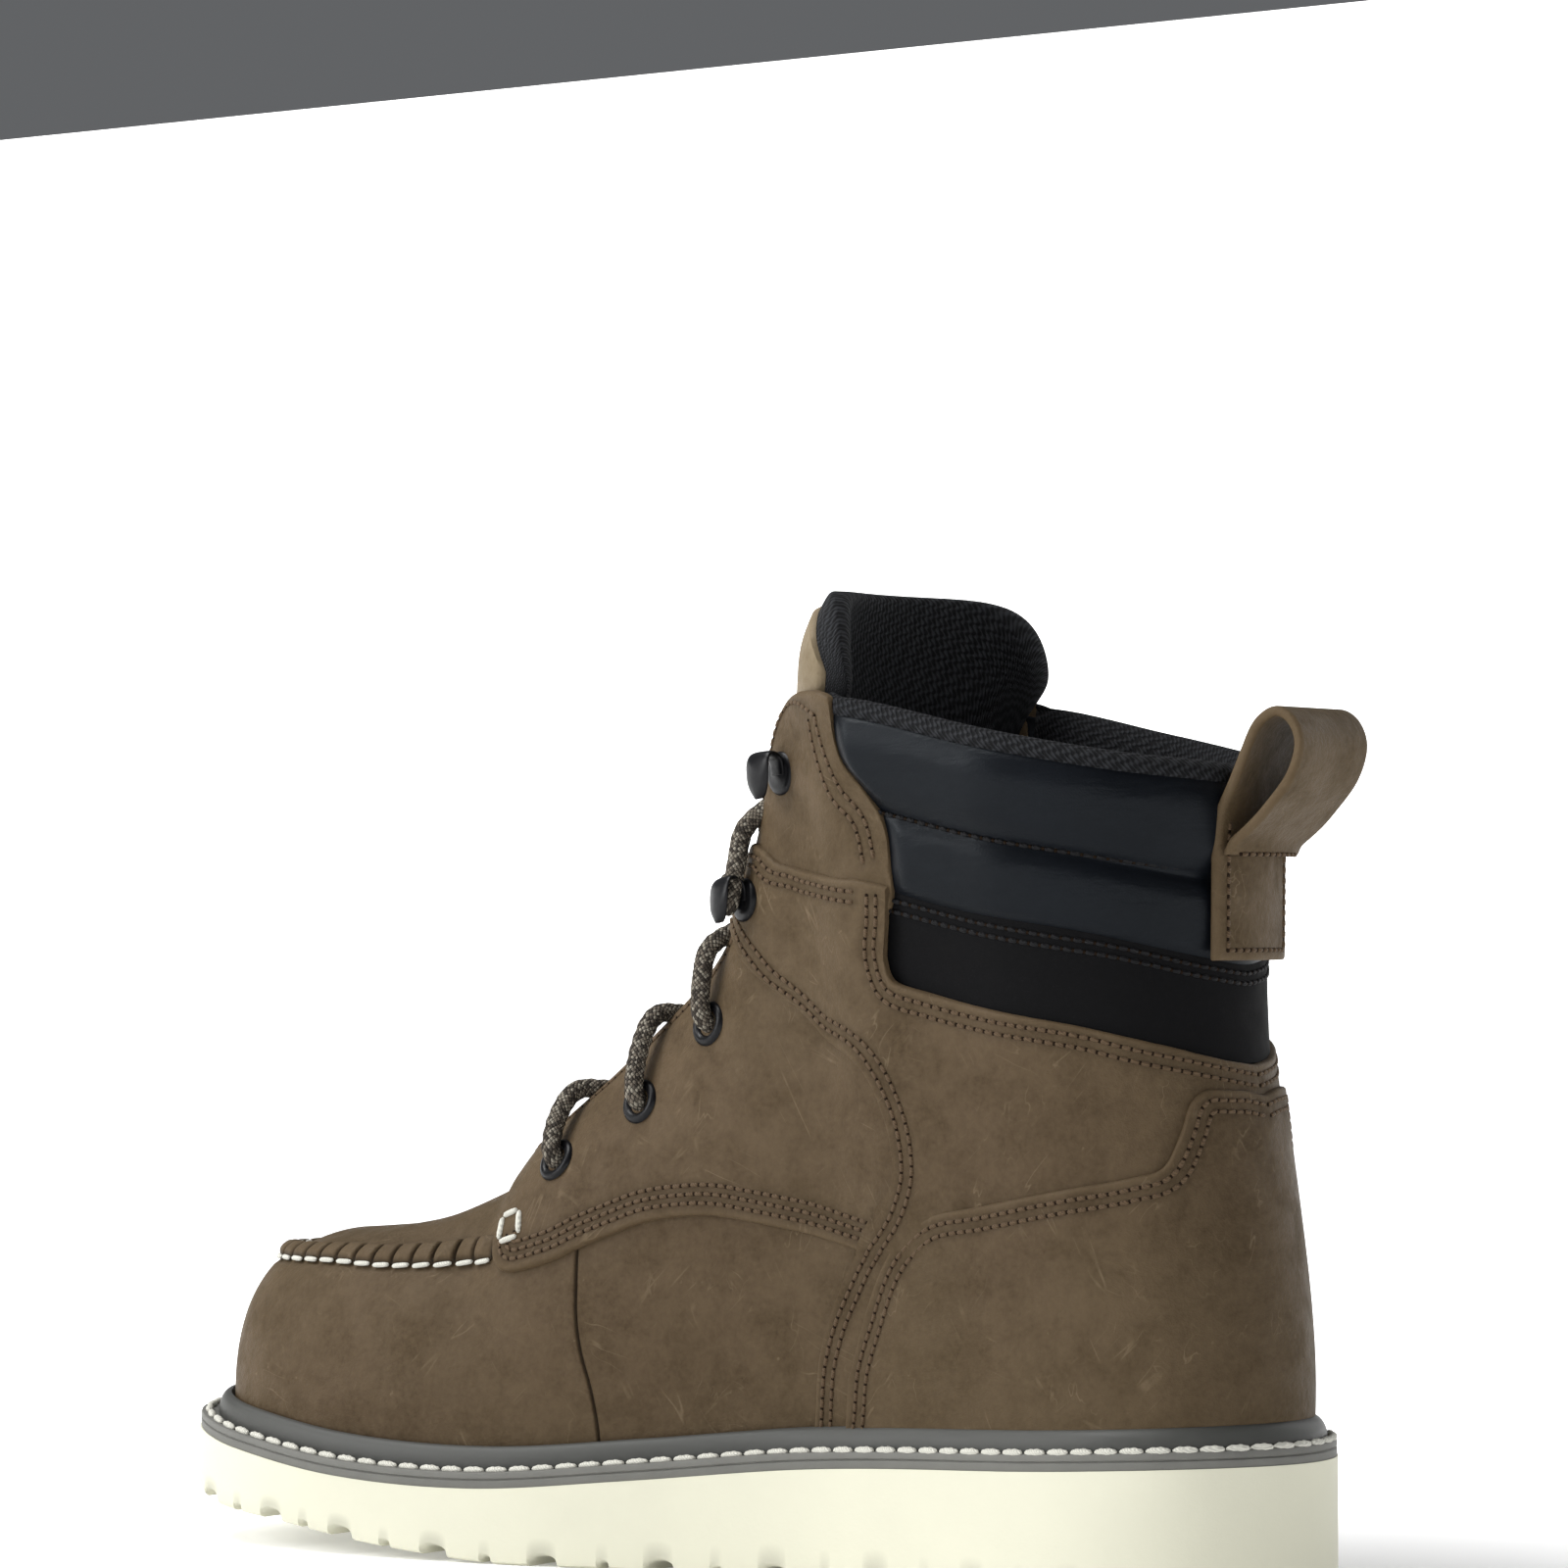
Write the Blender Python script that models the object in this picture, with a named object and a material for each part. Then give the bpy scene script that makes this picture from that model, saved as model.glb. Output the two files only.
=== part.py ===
"""Wedge sole work boot, right foot, standing empty on its sole.

Metres, +Z up, floor at z = 0. The toe points towards -X and the foot's inner side towards -Y.
One function gives the outer face of the leather. skin(girth, up) runs round the boot with girth,
from 0 at the toe along the inner side to HEEL at the back and on along the outer side to
2 * HEEL at the toe again, and climbs with up, from 0 at the sole to 1 at the top edge.
The upper, its overlays, the collar, the welt and the lace fittings all come from it.
"""
import bmesh
import bpy
import numpy as np
from mathutils import Matrix, Vector

# Driving sizes
SOLE_LENGTH = 0.308
BALL_WIDTH = 0.093
BOOT_HEIGHT = 0.204
HEEL_STACK = 0.031
SOLE_MARGIN = 0.009

# Thicknesses
WALL = 0.0022
OVERLAY = 0.0013
QUARTER_EXTRA = 0.0005
COLLAR_FOAM = 0.0055
ROLL_BULGE = 0.0022
MOC_BEAD = 0.0016
MOC_BEAD_SPAN = 0.07
INSOLE = 0.004
INSOLE_CUP = 0.001
TONGUE_LEATHER = 0.0028
TONGUE_PADDING = 0.0045
STRAP = 0.0024
STRAP_WIDTH = 0.031
LACE_RADIUS = 0.0022
GAP = 0.0003
LAID_GAP = 0.0009

# Welt
WELT_STRIP = 0.004
WELT_BEAD = 0.0062
WELT_BEAD_OUT = 0.0045
WELT_BEAD_HEEL = 0.0022

# Tread
TREAD_PITCH = 0.0142
TREAD_GROOVE = 0.0055
TREAD_DEPTH = 0.0034
TREAD_SLOPE = 0.0012
TOE_SPRING = 0.0147

# Lace fittings
EYELET_RADIUS = 0.0054
EYELET_BORE = 0.0027
EYELET_HEIGHT = 0.0012
HOOK_WIDTH = 0.0072
HOOK_LENGTH = 0.0105
HOOK_HEIGHT = 0.0066
HOOK_PLATE = 0.0013

# Rib rows, toe to heel. foot_x, top_x and lean are shares of SOLE_LENGTH, foot_in, foot_out,
# top_half and spread of BALL_WIDTH, and rise, top_z and drop of BOOT_HEIGHT.
# Columns: foot_x, foot_in, foot_out, lean, rise, top_x, top_half, top_z, spread, drop
RIBS = np.array([
    (-0.469, 0.065, -0.065, 0.010, 0.186, -0.367, 0.000, 0.382, 0.290, 0.000),
    (-0.459, 0.274, 0.140, 0.010, 0.186, -0.357, 0.000, 0.383, 0.301, 0.000),
    (-0.425, 0.414, 0.301, 0.010, 0.186, -0.338, 0.000, 0.386, 0.344, 0.000),
    (-0.367, 0.478, 0.409, 0.010, 0.191, -0.308, 0.000, 0.392, 0.387, 0.000),
    (-0.295, 0.500, 0.478, 0.010, 0.196, -0.266, 0.000, 0.407, 0.398, 0.005),
    (-0.218, 0.489, 0.511, 0.010, 0.206, -0.218, 0.000, 0.441, 0.366, 0.020),
    (-0.136, 0.452, 0.522, 0.010, 0.216, -0.162, 0.183, 0.490, 0.215, 0.039),
    (-0.052, 0.387, 0.495, 0.010, 0.225, -0.068, 0.215, 0.593, 0.194, 0.069),
    (0.032, 0.323, 0.446, 0.013, 0.245, 0.023, 0.258, 0.711, 0.150, 0.118),
    (0.110, 0.285, 0.398, 0.016, 0.245, 0.068, 0.312, 0.838, 0.097, 0.176),
    (0.175, 0.280, 0.366, 0.019, 0.235, 0.104, 0.366, 1.000, 0.032, 0.245),
    (0.234, 0.290, 0.349, 0.021, 0.225, 0.182, 0.505, 1.000, -0.075, 0.270),
    (0.308, 0.312, 0.333, 0.021, 0.216, 0.292, 0.505, 0.965, -0.108, 0.275),
    (0.393, 0.301, 0.306, 0.021, 0.216, 0.386, 0.398, 0.938, -0.129, 0.279),
    (0.448, 0.199, 0.204, 0.018, 0.225, 0.433, 0.204, 0.927, -0.129, 0.284),
    (0.472, 0.000, 0.000, 0.016, 0.230, 0.446, 0.000, 0.922, -0.118, 0.289),
])
HEEL = len(RIBS) - 1
THROAT = 5.0
CORNER = 10.72
TOE_TURN = 0.039

# Seat of the sole: x as a share of SOLE_LENGTH, height as a share of HEEL_STACK
SEAT = np.array([
    (-0.50, 0.92), (-0.40, 0.77), (-0.29, 0.62), (-0.16, 0.575),
    (-0.03, 0.68), (0.11, 0.82), (0.31, 0.92), (0.50, 1.00),
])
# Toe spring: x as a share of SOLE_LENGTH, lift as a share of TOE_SPRING
SPRING = np.array([(-0.50, 1.0), (-0.44, 0.69), (-0.34, 0.45), (-0.23, 0.16), (-0.12, 0.0), (0.50, 0.0)])

# Lower edge of the moc seam, and the edge under the collar: girth, up
MOC_SEAM = np.array([(0.0, 0.535), (1.0, 0.545), (2.0, 0.565), (3.0, 0.572), (4.0, 0.555), (5.0, 0.53),
                     (6.0, 0.51), (8.0, 0.49), (10.0, 0.46), (11.0, 0.34), (13.0, 0.34), (15.0, 0.33)])
COLLAR_CUT = np.array([(0.0, 1.0), (10.70, 1.0), (10.86, 0.64), (11.1, 0.62), (12.0, 0.615),
                       (12.7, 0.612), (13.7, 0.597), (15.0, 0.580)])

# Overlays and collar as rungs between a lower and a higher edge:
# girth_low, up_low, girth_high, up_high
FACING = np.array([
    (5.70, 0.54, 5.62, 1),
    (5.95, 0.46, 5.80, 1),
    (6.40, 0.46, 5.95, 1),
    (7.15, 0.47, 6.12, 1),
    (7.90, 0.43, 6.28, 1),
    (8.60, 0.38, 6.42, 1),
    (9.30, 0.34, 6.55, 1),
    (9.82, 0.315, 6.65, 1),
    (10.40, 0.37, 6.76, 1),
    (10.66, 0.455, 6.88, 1),
    (10.05, 0.562, 7.02, 1),
    (9.72, 0.614, 7.22, 1),
    (9.40, 0.672, 7.54, 1),
    (9.00, 0.768, 7.84, 1),
    (8.60, 0.872, 8.06, 1),
])
QUARTER = np.array([
    (8.50, 0.985, 8.70, 1),
    (8.95, 0.82, 9.30, 1),
    (9.60, 0.65, 9.90, 1),
    (10.05, 0.592, 10.45, 1),
    (10.35, 0.565, 10.86, 0.98),
    (10.58, 0.549, 11.05, 0.89),
    (10.76, 0.53, 11.27, 0.8),
    (10.88, 0.5, 11.20, 0.71),
    (10.92, 0.455, 11.28, 0.65),
    (10.89, 0.415, 11.65, 0.642),
    (10.80, 0.383, 12.10, 0.64),
    (10.62, 0.353, 12.65, 0.64),
    (10.35, 0.322, 13.15, 0.631),
    (9.85, 0.272, 13.52, 0.623),
    (9.36, 0.19, 13.66, 0.621),
    (9.10, 0.072, 13.74, 0.619),
    (9.70, 0.072, 13.82, 0.617),
    (10.30, 0.073, 13.90, 0.615),
    (10.90, 0.075, 13.99, 0.613),
    (11.50, 0.078, 14.08, 0.611),
    (12.05, 0.08, 14.20, 0.609),
    (12.55, 0.08, 14.32, 0.607),
    (13.00, 0.08, 14.44, 0.605),
    (13.40, 0.08, 14.55, 0.604),
    (13.80, 0.079, 14.66, 0.603),
    (14.20, 0.078, 14.77, 0.602),
    (14.60, 0.077, 14.88, 0.601),
    (15.00, 0.077, 15.00, 0.6),
])
COUNTER = np.array([
    (9.62, 0.074, 10.55, 0.29),
    (10.2, 0.074, 11.05, 0.35),
    (11.0, 0.077, 11.60, 0.38),
    (12.0, 0.080, 12.50, 0.415),
    (12.8, 0.081, 13.25, 0.445),
    (13.3, 0.080, 13.62, 0.48),
    (13.8, 0.079, 13.95, 0.555),
    (14.4, 0.078, 14.50, 0.568),
    (15.0, 0.078, 15.00, 0.560),
])
COLLAR_RUNGS = np.array([
    (10.92, 10.77), (11.07, 11.00), (11.4, 11.4), (12.0, 12.0), (12.7, 12.7),
    (13.4, 13.4), (14.1, 14.1), (14.6, 14.6), (15.0, 15.0),
])
COLLAR_ROLLS = np.array([(0.0, 0.0), (0.10, 0.0), (0.20, 0.15), (0.36, 0.20), (0.42, 0.0), (0.48, 0.55),
                         (0.58, 0.80), (0.68, 0.15), (0.73, 0.65), (0.85, 1.0), (0.95, 0.75), (1.0, 0.0)])

# Lace fittings on each side, front to back: girth, up
EYELETS = [(6.35, 0.755), (7.20, 0.76), (7.95, 0.82)]
HOOKS = [(8.95, 0.90), (9.95, 0.905)]

# Tongue rows by the girth of the throat's edge beside them. x and deep are shares of SOLE_LENGTH,
# z of BOOT_HEIGHT, half of BALL_WIDTH, and tilt is in degrees.
# Columns: girth, x, z, half, deep, tilt
TONGUE = np.array([
    (5.0, -0.205, 0.412, 0.20, 0.016, 62.0),
    (6.0, -0.160, 0.478, 0.27, 0.030, 54.0),
    (7.0, -0.068, 0.585, 0.28, 0.042, 47.0),
    (8.0, 0.020, 0.706, 0.295, 0.052, 32.0),
    (9.0, 0.059, 0.838, 0.335, 0.062, 16.0),
    (10.0, 0.080, 1.000, 0.42, 0.086, 4.0),
    (11.0, 0.090, 1.074, 0.455, 0.100, 0.0),
    (12.0, 0.112, 1.135, 0.44, 0.094, 0.0),
])
TONGUE_SKEW = 0.012
TONGUE_CORNER = 0.065

# Pull loop, seen from the side: distance behind the collar and height above the strap's lower
# end, both as shares of LOOP_RISE
LOOP_RISE = 0.060
LOOP_START = 0.745
LOOP_PATH = np.array([
    (0.00, 0.00), (0.00, 0.20), (0.00, 0.42), (0.005, 0.56), (0.035, 0.67), (0.085, 0.81), (0.135, 0.90),
    (0.21, 0.94), (0.28, 0.90), (0.31, 0.81), (0.27, 0.69), (0.17, 0.57), (0.10, 0.50), (0.06, 0.44),
])


def smooth(rows, at, clamp=False):
    """Cubic curve through the rows of a table, whose first column is the position."""
    rows = np.asarray(rows, float)
    x, y = rows[:, 0], rows[:, 1:]
    at = np.asarray(at, float)
    step = np.diff(x)[:, None]
    slope = np.diff(y, axis=0) / step
    tangent = np.zeros_like(y)
    tangent[1:-1] = (slope[:-1] * step[1:] + slope[1:] * step[:-1]) / (step[:-1] + step[1:])
    if clamp:
        turn = slope[:-1] * slope[1:] <= 0
        tangent[1:-1][turn] = 0.0
        limit = np.minimum(np.abs(slope[:-1]), np.abs(slope[1:])) * 3
        tangent[1:-1] = np.clip(tangent[1:-1], -limit, limit)
    i = np.clip(np.searchsorted(x, at, side="right") - 1, 0, len(x) - 2)
    t = ((at - x[i]) / np.diff(x)[i])[..., None]
    h = np.diff(x)[i][..., None]
    value = (y[i] * (2 * t**3 - 3 * t**2 + 1) + y[i + 1] * (3 * t**2 - 2 * t**3)
             + h * (tangent[i] * (t**3 - 2 * t**2 + t) + tangent[i + 1] * (t**3 - t**2)))
    return value[..., 0] if y.shape[1] == 1 else value


def looped(values, at):
    """Closed cubic curve through values at 0, 1, 2 and so on."""
    count = len(values)
    system = 4 * np.eye(count) + np.roll(np.eye(count), 1, 0) + np.roll(np.eye(count), -1, 0)
    tangent = np.linalg.solve(system, 3 * (np.roll(values, -1) - np.roll(values, 1)))
    i = np.floor(at).astype(int) % count
    j = (i + 1) % count
    t = at - np.floor(at)
    return (values[i] * (2 * t**3 - 3 * t**2 + 1) + values[j] * (3 * t**2 - 2 * t**3)
            + tangent[i] * (t**3 - 2 * t**2 + t) + tangent[j] * (t**3 - t**2))


PLAN_X = SOLE_LENGTH * np.concatenate([RIBS[:, 0], RIBS[-2:0:-1, 0]])
PLAN_Y = BALL_WIDTH * np.concatenate([-RIBS[:, 1], RIBS[-2:0:-1, 2]])
RIB_ROWS = np.column_stack([np.arange(HEEL + 1), RIBS])
TOP_Y = np.column_stack([np.arange(2 * HEEL + 1),
                         BALL_WIDTH * np.concatenate([-RIBS[:, 6], RIBS[-2::-1, 6]])])


def seat(x):
    """Height of the sole's top face."""
    return HEEL_STACK * smooth(SEAT, x / SOLE_LENGTH)


def underside(x):
    """Height of the tread's face above the floor."""
    return TOE_SPRING * np.maximum(smooth(SPRING, x / SOLE_LENGTH, clamp=True), 0.0)


def plan(girth):
    """Edge of the leather where it meets the sole, seen from above, and the way outwards."""
    girth = np.asarray(girth, float)
    tiny = 1e-3
    x, y = looped(PLAN_X, girth), looped(PLAN_Y, girth)
    dx = looped(PLAN_X, girth + tiny) - looped(PLAN_X, girth - tiny)
    dy = looped(PLAN_Y, girth + tiny) - looped(PLAN_Y, girth - tiny)
    size = np.hypot(dx, dy)
    return x, y, dy / size, -dx / size


def sole_edge(girth, margin=SOLE_MARGIN):
    """Outline of the sole, seen from above."""
    x, y, out_x, out_y = plan(girth)
    return x + out_x * margin, y + out_y * margin


def skin(girth, up):
    """Outer face of the leather: one Bezier rib from the sole to the top edge at each girth."""
    girth, up = np.broadcast_arrays(np.asarray(girth, float), np.asarray(up, float))
    row = np.where(girth <= HEEL, girth, 2 * HEEL - girth)
    rib = smooth(RIB_ROWS, row)
    top_y = smooth(TOP_Y, np.mod(girth, 2 * HEEL), clamp=True)
    ridge = -TOE_TURN * BALL_WIDTH * np.clip(1 - row / 6, 0, 1)
    x, y, out_x, out_y = plan(girth)
    foot = np.stack([x, y, seat(x) + GAP], -1)
    outwards = np.stack([out_x, out_y, 0 * out_x], -1)
    upwards = np.array([0.0, 0.0, 1.0])
    low = foot + outwards * rib[..., 3:4] * SOLE_LENGTH + upwards * rib[..., 4:5] * BOOT_HEIGHT
    top = np.stack([rib[..., 5] * SOLE_LENGTH, ridge + top_y, rib[..., 7] * BOOT_HEIGHT], -1)
    high = top + outwards * rib[..., 8:9] * BALL_WIDTH - upwards * rib[..., 9:10] * BOOT_HEIGHT
    t = up[..., None]
    return foot * (1 - t)**3 + 3 * low * t * (1 - t)**2 + 3 * high * t**2 * (1 - t) + top * t**3


def outward(girth, up):
    """Unit normal of the skin, away from the foot."""
    tiny = 1e-3
    girth, up = np.broadcast_arrays(np.asarray(girth, float), np.asarray(up, float))
    along = skin(girth + tiny, up) - skin(girth - tiny, up)
    climb = skin(girth, np.minimum(up + tiny, 1)) - skin(girth, np.maximum(up - tiny, 0))
    normal = np.cross(along, climb)
    return normal / np.linalg.norm(normal, axis=-1, keepdims=True)


def raised(girth, up, lift):
    """Point that stands off the skin by lift."""
    lift = np.broadcast_to(np.asarray(lift, float), np.broadcast(girth, up).shape)
    return skin(girth, up) + outward(girth, up) * lift[..., None]


def collar_cut(girth):
    """Share of a rib's height at which the leather ends under the collar."""
    row = np.where(girth <= HEEL, girth, 2 * HEEL - girth)
    return smooth(COLLAR_CUT, row, clamp=True)


def mirrored(rungs):
    """The same rungs on the outer side, in order of rising girth."""
    flipped = rungs[::-1].copy()
    flipped[:, (0, 2)] = 2 * HEEL - flipped[:, (0, 2)]
    return flipped


def material(name, color, roughness, metallic=0.0):
    made = bpy.data.materials.new(name)
    made.use_nodes = True
    shader = made.node_tree.nodes["Principled BSDF"]
    shader.inputs["Base Color"].default_value = (*color, 1.0)
    shader.inputs["Roughness"].default_value = roughness
    shader.inputs["Metallic"].default_value = metallic
    return made


def add_solid(name, points, faces, finish):
    """Adds one closed solid as an object of its own."""
    mesh = bpy.data.meshes.new(name)
    mesh.from_pydata([tuple(p) for p in np.asarray(points, float)], [], faces)
    work = bmesh.new()
    work.from_mesh(mesh)
    bmesh.ops.recalc_face_normals(work, faces=work.faces)
    work.to_mesh(mesh)
    work.free()
    mesh.materials.append(finish)
    solid = bpy.data.objects.new(name, mesh)
    bpy.context.scene.collection.objects.link(solid)
    return solid


def layered(name, outer, inner, finish, closed=False):
    """Closed solid between two matching grids of points; closed joins the last row to the first."""
    rows, columns = outer.shape[:2]
    points = np.concatenate([outer.reshape(-1, 3), inner.reshape(-1, 3)])
    half = rows * columns

    def at(i, j, layer):
        return layer * half + (i % rows) * columns + j

    faces = []
    spans = rows if closed else rows - 1
    for i in range(spans):
        for j in range(columns - 1):
            faces.append((at(i, j, 0), at(i + 1, j, 0), at(i + 1, j + 1, 0), at(i, j + 1, 0)))
            faces.append((at(i, j, 1), at(i, j + 1, 1), at(i + 1, j + 1, 1), at(i + 1, j, 1)))
        for j in (0, columns - 1):
            faces.append((at(i, j, 0), at(i, j, 1), at(i + 1, j, 1), at(i + 1, j, 0)))
    if not closed:
        for i in (0, rows - 1):
            for j in range(columns - 1):
                faces.append((at(i, j, 0), at(i, j + 1, 0), at(i, j + 1, 1), at(i, j, 1)))
    return add_solid(name, points, faces, finish)


def ring_solid(name, sections, finish):
    """Closed solid swept round a closed loop; sections holds one closed outline a row."""
    rows, columns = sections.shape[:2]
    faces = []
    for i in range(rows):
        for j in range(columns):
            a, b = i * columns, ((i + 1) % rows) * columns
            k = (j + 1) % columns
            faces.append((a + j, b + j, b + k, a + k))
    return add_solid(name, sections.reshape(-1, 3), faces, finish)


def swept(name, sections, finish):
    """Closed solid through a row of closed outlines, with flat ends."""
    rows, columns = sections.shape[:2]
    faces = [tuple(range(columns)), tuple((rows - 1) * columns + j for j in reversed(range(columns)))]
    for i in range(rows - 1):
        for j in range(columns):
            a, b = i * columns, (i + 1) * columns
            k = (j + 1) % columns
            faces.append((a + j, b + j, b + k, a + k))
    return add_solid(name, sections.reshape(-1, 3), faces, finish)


def rung_grid(rungs, between, across):
    """Girth and up of a grid laid over rungs: between steps from rung to rung, across steps up."""
    place = np.linspace(0, len(rungs) - 1, (len(rungs) - 1) * between + 1)
    table = np.column_stack([np.arange(len(rungs)), rungs])
    edge = smooth(table, place)
    climb = np.linspace(0, 1, across + 1)
    girth = edge[:, 0:1] * (1 - climb) + edge[:, 2:3] * climb
    up = edge[:, 1:2] * (1 - climb) + edge[:, 3:4] * climb
    return girth, np.clip(up, 0, 1)


def overlay(name, rungs, lift, thickness, between, across, finish):
    """Leather piece laid over the skin."""
    girth, up = rung_grid(rungs, between, across)
    return layered(name, raised(girth, up, lift + thickness), raised(girth, up, lift), finish)


def breadth(margin):
    """Ends of an outline along x, and a function for its two edges at any x between them."""
    dense = np.linspace(0, 2 * HEEL, 1201)
    x, y = sole_edge(dense, margin)
    nose, tail = np.argmin(x), np.argmax(x)
    inner = x[nose:tail + 1], y[nose:tail + 1]
    outer = (np.concatenate([x[tail:-1], x[:nose + 1]])[::-1],
             np.concatenate([y[tail:-1], y[:nose + 1]])[::-1])
    return x[nose], x[tail], lambda at: (np.interp(at, *inner), np.interp(at, *outer))


ROUND_ENDS = np.array([0.0002, 0.0008, 0.002, 0.004, 0.007, 0.011])


def build_outsole(finish):
    """Wedge sole: sections along its length, with the tread's grooves cut across."""
    first, last, edges = breadth(SOLE_MARGIN)
    grooves = np.arange(first + 0.016, last - 0.010, TREAD_PITCH)
    half = TREAD_GROOVE / 2
    cuts = np.concatenate([grooves - half, grooves - half + TREAD_SLOPE,
                           grooves + half - TREAD_SLOPE, grooves + half])
    stations = np.sort(np.concatenate([first + ROUND_ENDS, last - ROUND_ENDS, cuts]))
    sections = []
    for x in stations:
        near, far = edges(x)
        in_groove = np.any(np.abs(x - grooves) < half - TREAD_SLOPE / 2)
        top, bottom = seat(x), underside(x)
        tread = bottom + (TREAD_DEPTH if in_groove else 0.0)
        middle = (near + far) / 2
        tuck = min(0.0015, (far - near) / 8)
        sections.append([(x, near, top), (x, near, bottom + TREAD_DEPTH + 0.002), (x, near + tuck, tread),
                         (x, middle, tread), (x, far - tuck, tread),
                         (x, far, bottom + TREAD_DEPTH + 0.002), (x, far, top), (x, middle, top)])
    return swept("outsole", np.array(sections), finish)


def build_welt(finish):
    """Flat strip round the sole's edge with a raised bead against the leather."""
    girth = np.linspace(0, 2 * HEEL, 90, endpoint=False)
    row = np.minimum(girth, 2 * HEEL - girth)
    x, y, out_x, out_y = plan(girth)
    wider = WELT_BEAD_HEEL * smooth([(0, 0), (8, 0), (10, 1), (15, 1)], row, clamp=True)

    def against_leather(height):
        up = np.full_like(girth, 0.05)
        for _ in range(12):
            up = np.clip(up + (seat(x) + height - skin(girth, up)[:, 2]) / (0.6 * BOOT_HEIGHT), 0, 0.3)
        return raised(girth, up, 1.5 * GAP)

    def standing(distance, height):
        out = x + out_x * distance
        return np.stack([out, y + out_y * distance, seat(out) + height], -1)

    edge = SOLE_MARGIN - 0.0004
    bead = WELT_BEAD_OUT + wider
    top = WELT_STRIP + WELT_BEAD
    sections = np.stack([
        against_leather(GAP), standing(edge, GAP), standing(edge, WELT_STRIP - 0.0005),
        standing(edge - 0.0006, WELT_STRIP), standing(bead, WELT_STRIP),
        standing(bead, WELT_STRIP + 0.6 * WELT_BEAD), standing(bead - 0.0013, top - 0.0003),
        against_leather(top - 0.0012),
    ], 1)
    return ring_solid("welt", sections, finish)


def build_insole(finish):
    """Inner sole, cupped a little at its edges."""
    first, last, edges = breadth(-(WALL + 2 * GAP))
    stations = np.concatenate([first + ROUND_ENDS, np.linspace(first + 0.017, last - 0.017, 30),
                               (last - ROUND_ENDS)[::-1]])
    sections = []
    for x in stations:
        near, far = edges(x)
        middle = (near + far) / 2
        low = seat(x) + GAP
        high = low + INSOLE
        sections.append([(x, near, high), (x, near, low), (x, far, low), (x, far, high),
                         (x, middle, high - INSOLE_CUP)])
    return swept("insole", np.array(sections), finish)


def build_upper(finish):
    """Hollow leather upper: open underneath, down the throat and at the collar.

    The ribs of both sides meet along the ridge of the toe, up to the throat. A raised bead runs
    round the toe where the apron is sewn to the vamp.
    """
    half_girths = np.concatenate([np.arange(0, THROAT, 1 / 3), np.arange(THROAT, 10.5, 0.5),
                                  [10.4, CORNER, 10.76, 10.81, 10.87, 10.96], np.arange(11.2, HEEL, 0.5)])
    half_girths = np.unique(np.round(half_girths, 4))
    girths = np.concatenate([half_girths, [HEEL], 2 * HEEL - half_girths[:0:-1]])
    row = np.minimum(girths, 2 * HEEL - girths)
    end = collar_cut(girths)
    seam = smooth(MOC_SEAM, row)
    span = MOC_BEAD_SPAN * end
    columns = [seam * share for share in (0, 0.1, 0.24, 0.4, 0.56, 0.72, 0.87)]
    columns += [seam + span * share for share in (0, 0.3, 0.7, 1.0)]
    columns += [seam + span + (end - seam - span) * share for share in (0.3, 0.65, 1.0)]
    up = np.stack(columns, 1)
    girth = np.broadcast_to(girths[:, None], up.shape)
    bead = np.zeros_like(up)
    fade = np.clip((5.6 - row) / 0.4, 0, 1)
    bead[:, 8] = bead[:, 9] = MOC_BEAD
    bead[:, 7] = bead[:, 10] = 0.25 * MOC_BEAD
    bead *= fade[:, None]
    plain = skin(girth, up)

    rows, levels = up.shape
    last = levels - 1

    def at(i, j):
        i %= rows
        if j == last and girths[i] > HEEL and row[i] <= THROAT:
            i = rows - i
        return i * levels + j

    quads = [(at(i, j), at(i + 1, j), at(i + 1, j + 1), at(i, j + 1))
             for i in range(rows) for j in range(levels - 1)]
    flat = plain.reshape(-1, 3)
    normals = np.zeros_like(flat)
    for face in quads:
        a, b, c, d = flat[list(face)]
        area = np.cross(c - a, d - b)
        for corner in set(face):
            normals[corner] += area
    size = np.linalg.norm(normals, axis=1)
    used = size > 0
    normals[used] /= size[used][:, None]
    outer = flat + normals * bead.reshape(-1)[:, None]
    inner = flat - normals * WALL
    number = np.cumsum(used) - 1
    half = int(used.sum())
    points = np.concatenate([outer[used], inner[used]])
    faces = []
    for face in quads:
        ids = [number[c] for c in face]
        faces.append(tuple(ids))
        faces.append(tuple(half + c for c in reversed(ids)))
    for i in range(rows):
        a, b = number[at(i, 0)], number[at(i + 1, 0)]
        faces.append((a, half + a, half + b, b))
        if max(row[i], row[(i + 1) % rows]) > THROAT:
            a, b = number[at(i, last)], number[at(i + 1, last)]
            faces.append((a, b, half + b, half + a))
    return add_solid("upper", points, faces, finish)


def build_collar(finish):
    """Padded collar: two rolls over a flat band, above the quarter."""
    rungs = np.column_stack([COLLAR_RUNGS[:, 0], collar_cut(COLLAR_RUNGS[:, 0]) + 0.007,
                             COLLAR_RUNGS[:, 1], np.ones(len(COLLAR_RUNGS))])
    rungs = np.concatenate([rungs, mirrored(rungs)[1:]])
    girth, up = rung_grid(rungs, 2, 9)
    climb = np.linspace(0, 1, up.shape[1])
    row = np.minimum(girth[:, :1], 2 * HEEL - girth[:, :1])
    away = np.clip((row - 11.33) / 0.4, 0, 1)
    bulge = ROLL_BULGE * smooth(COLLAR_ROLLS, climb, clamp=True) * away
    depth = WALL + (COLLAR_FOAM - WALL) * away * np.clip(climb / 0.15, 0, 1)
    return layered("collar", raised(girth, up, bulge - GAP / 2), raised(girth, up, -depth), finish)


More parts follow.
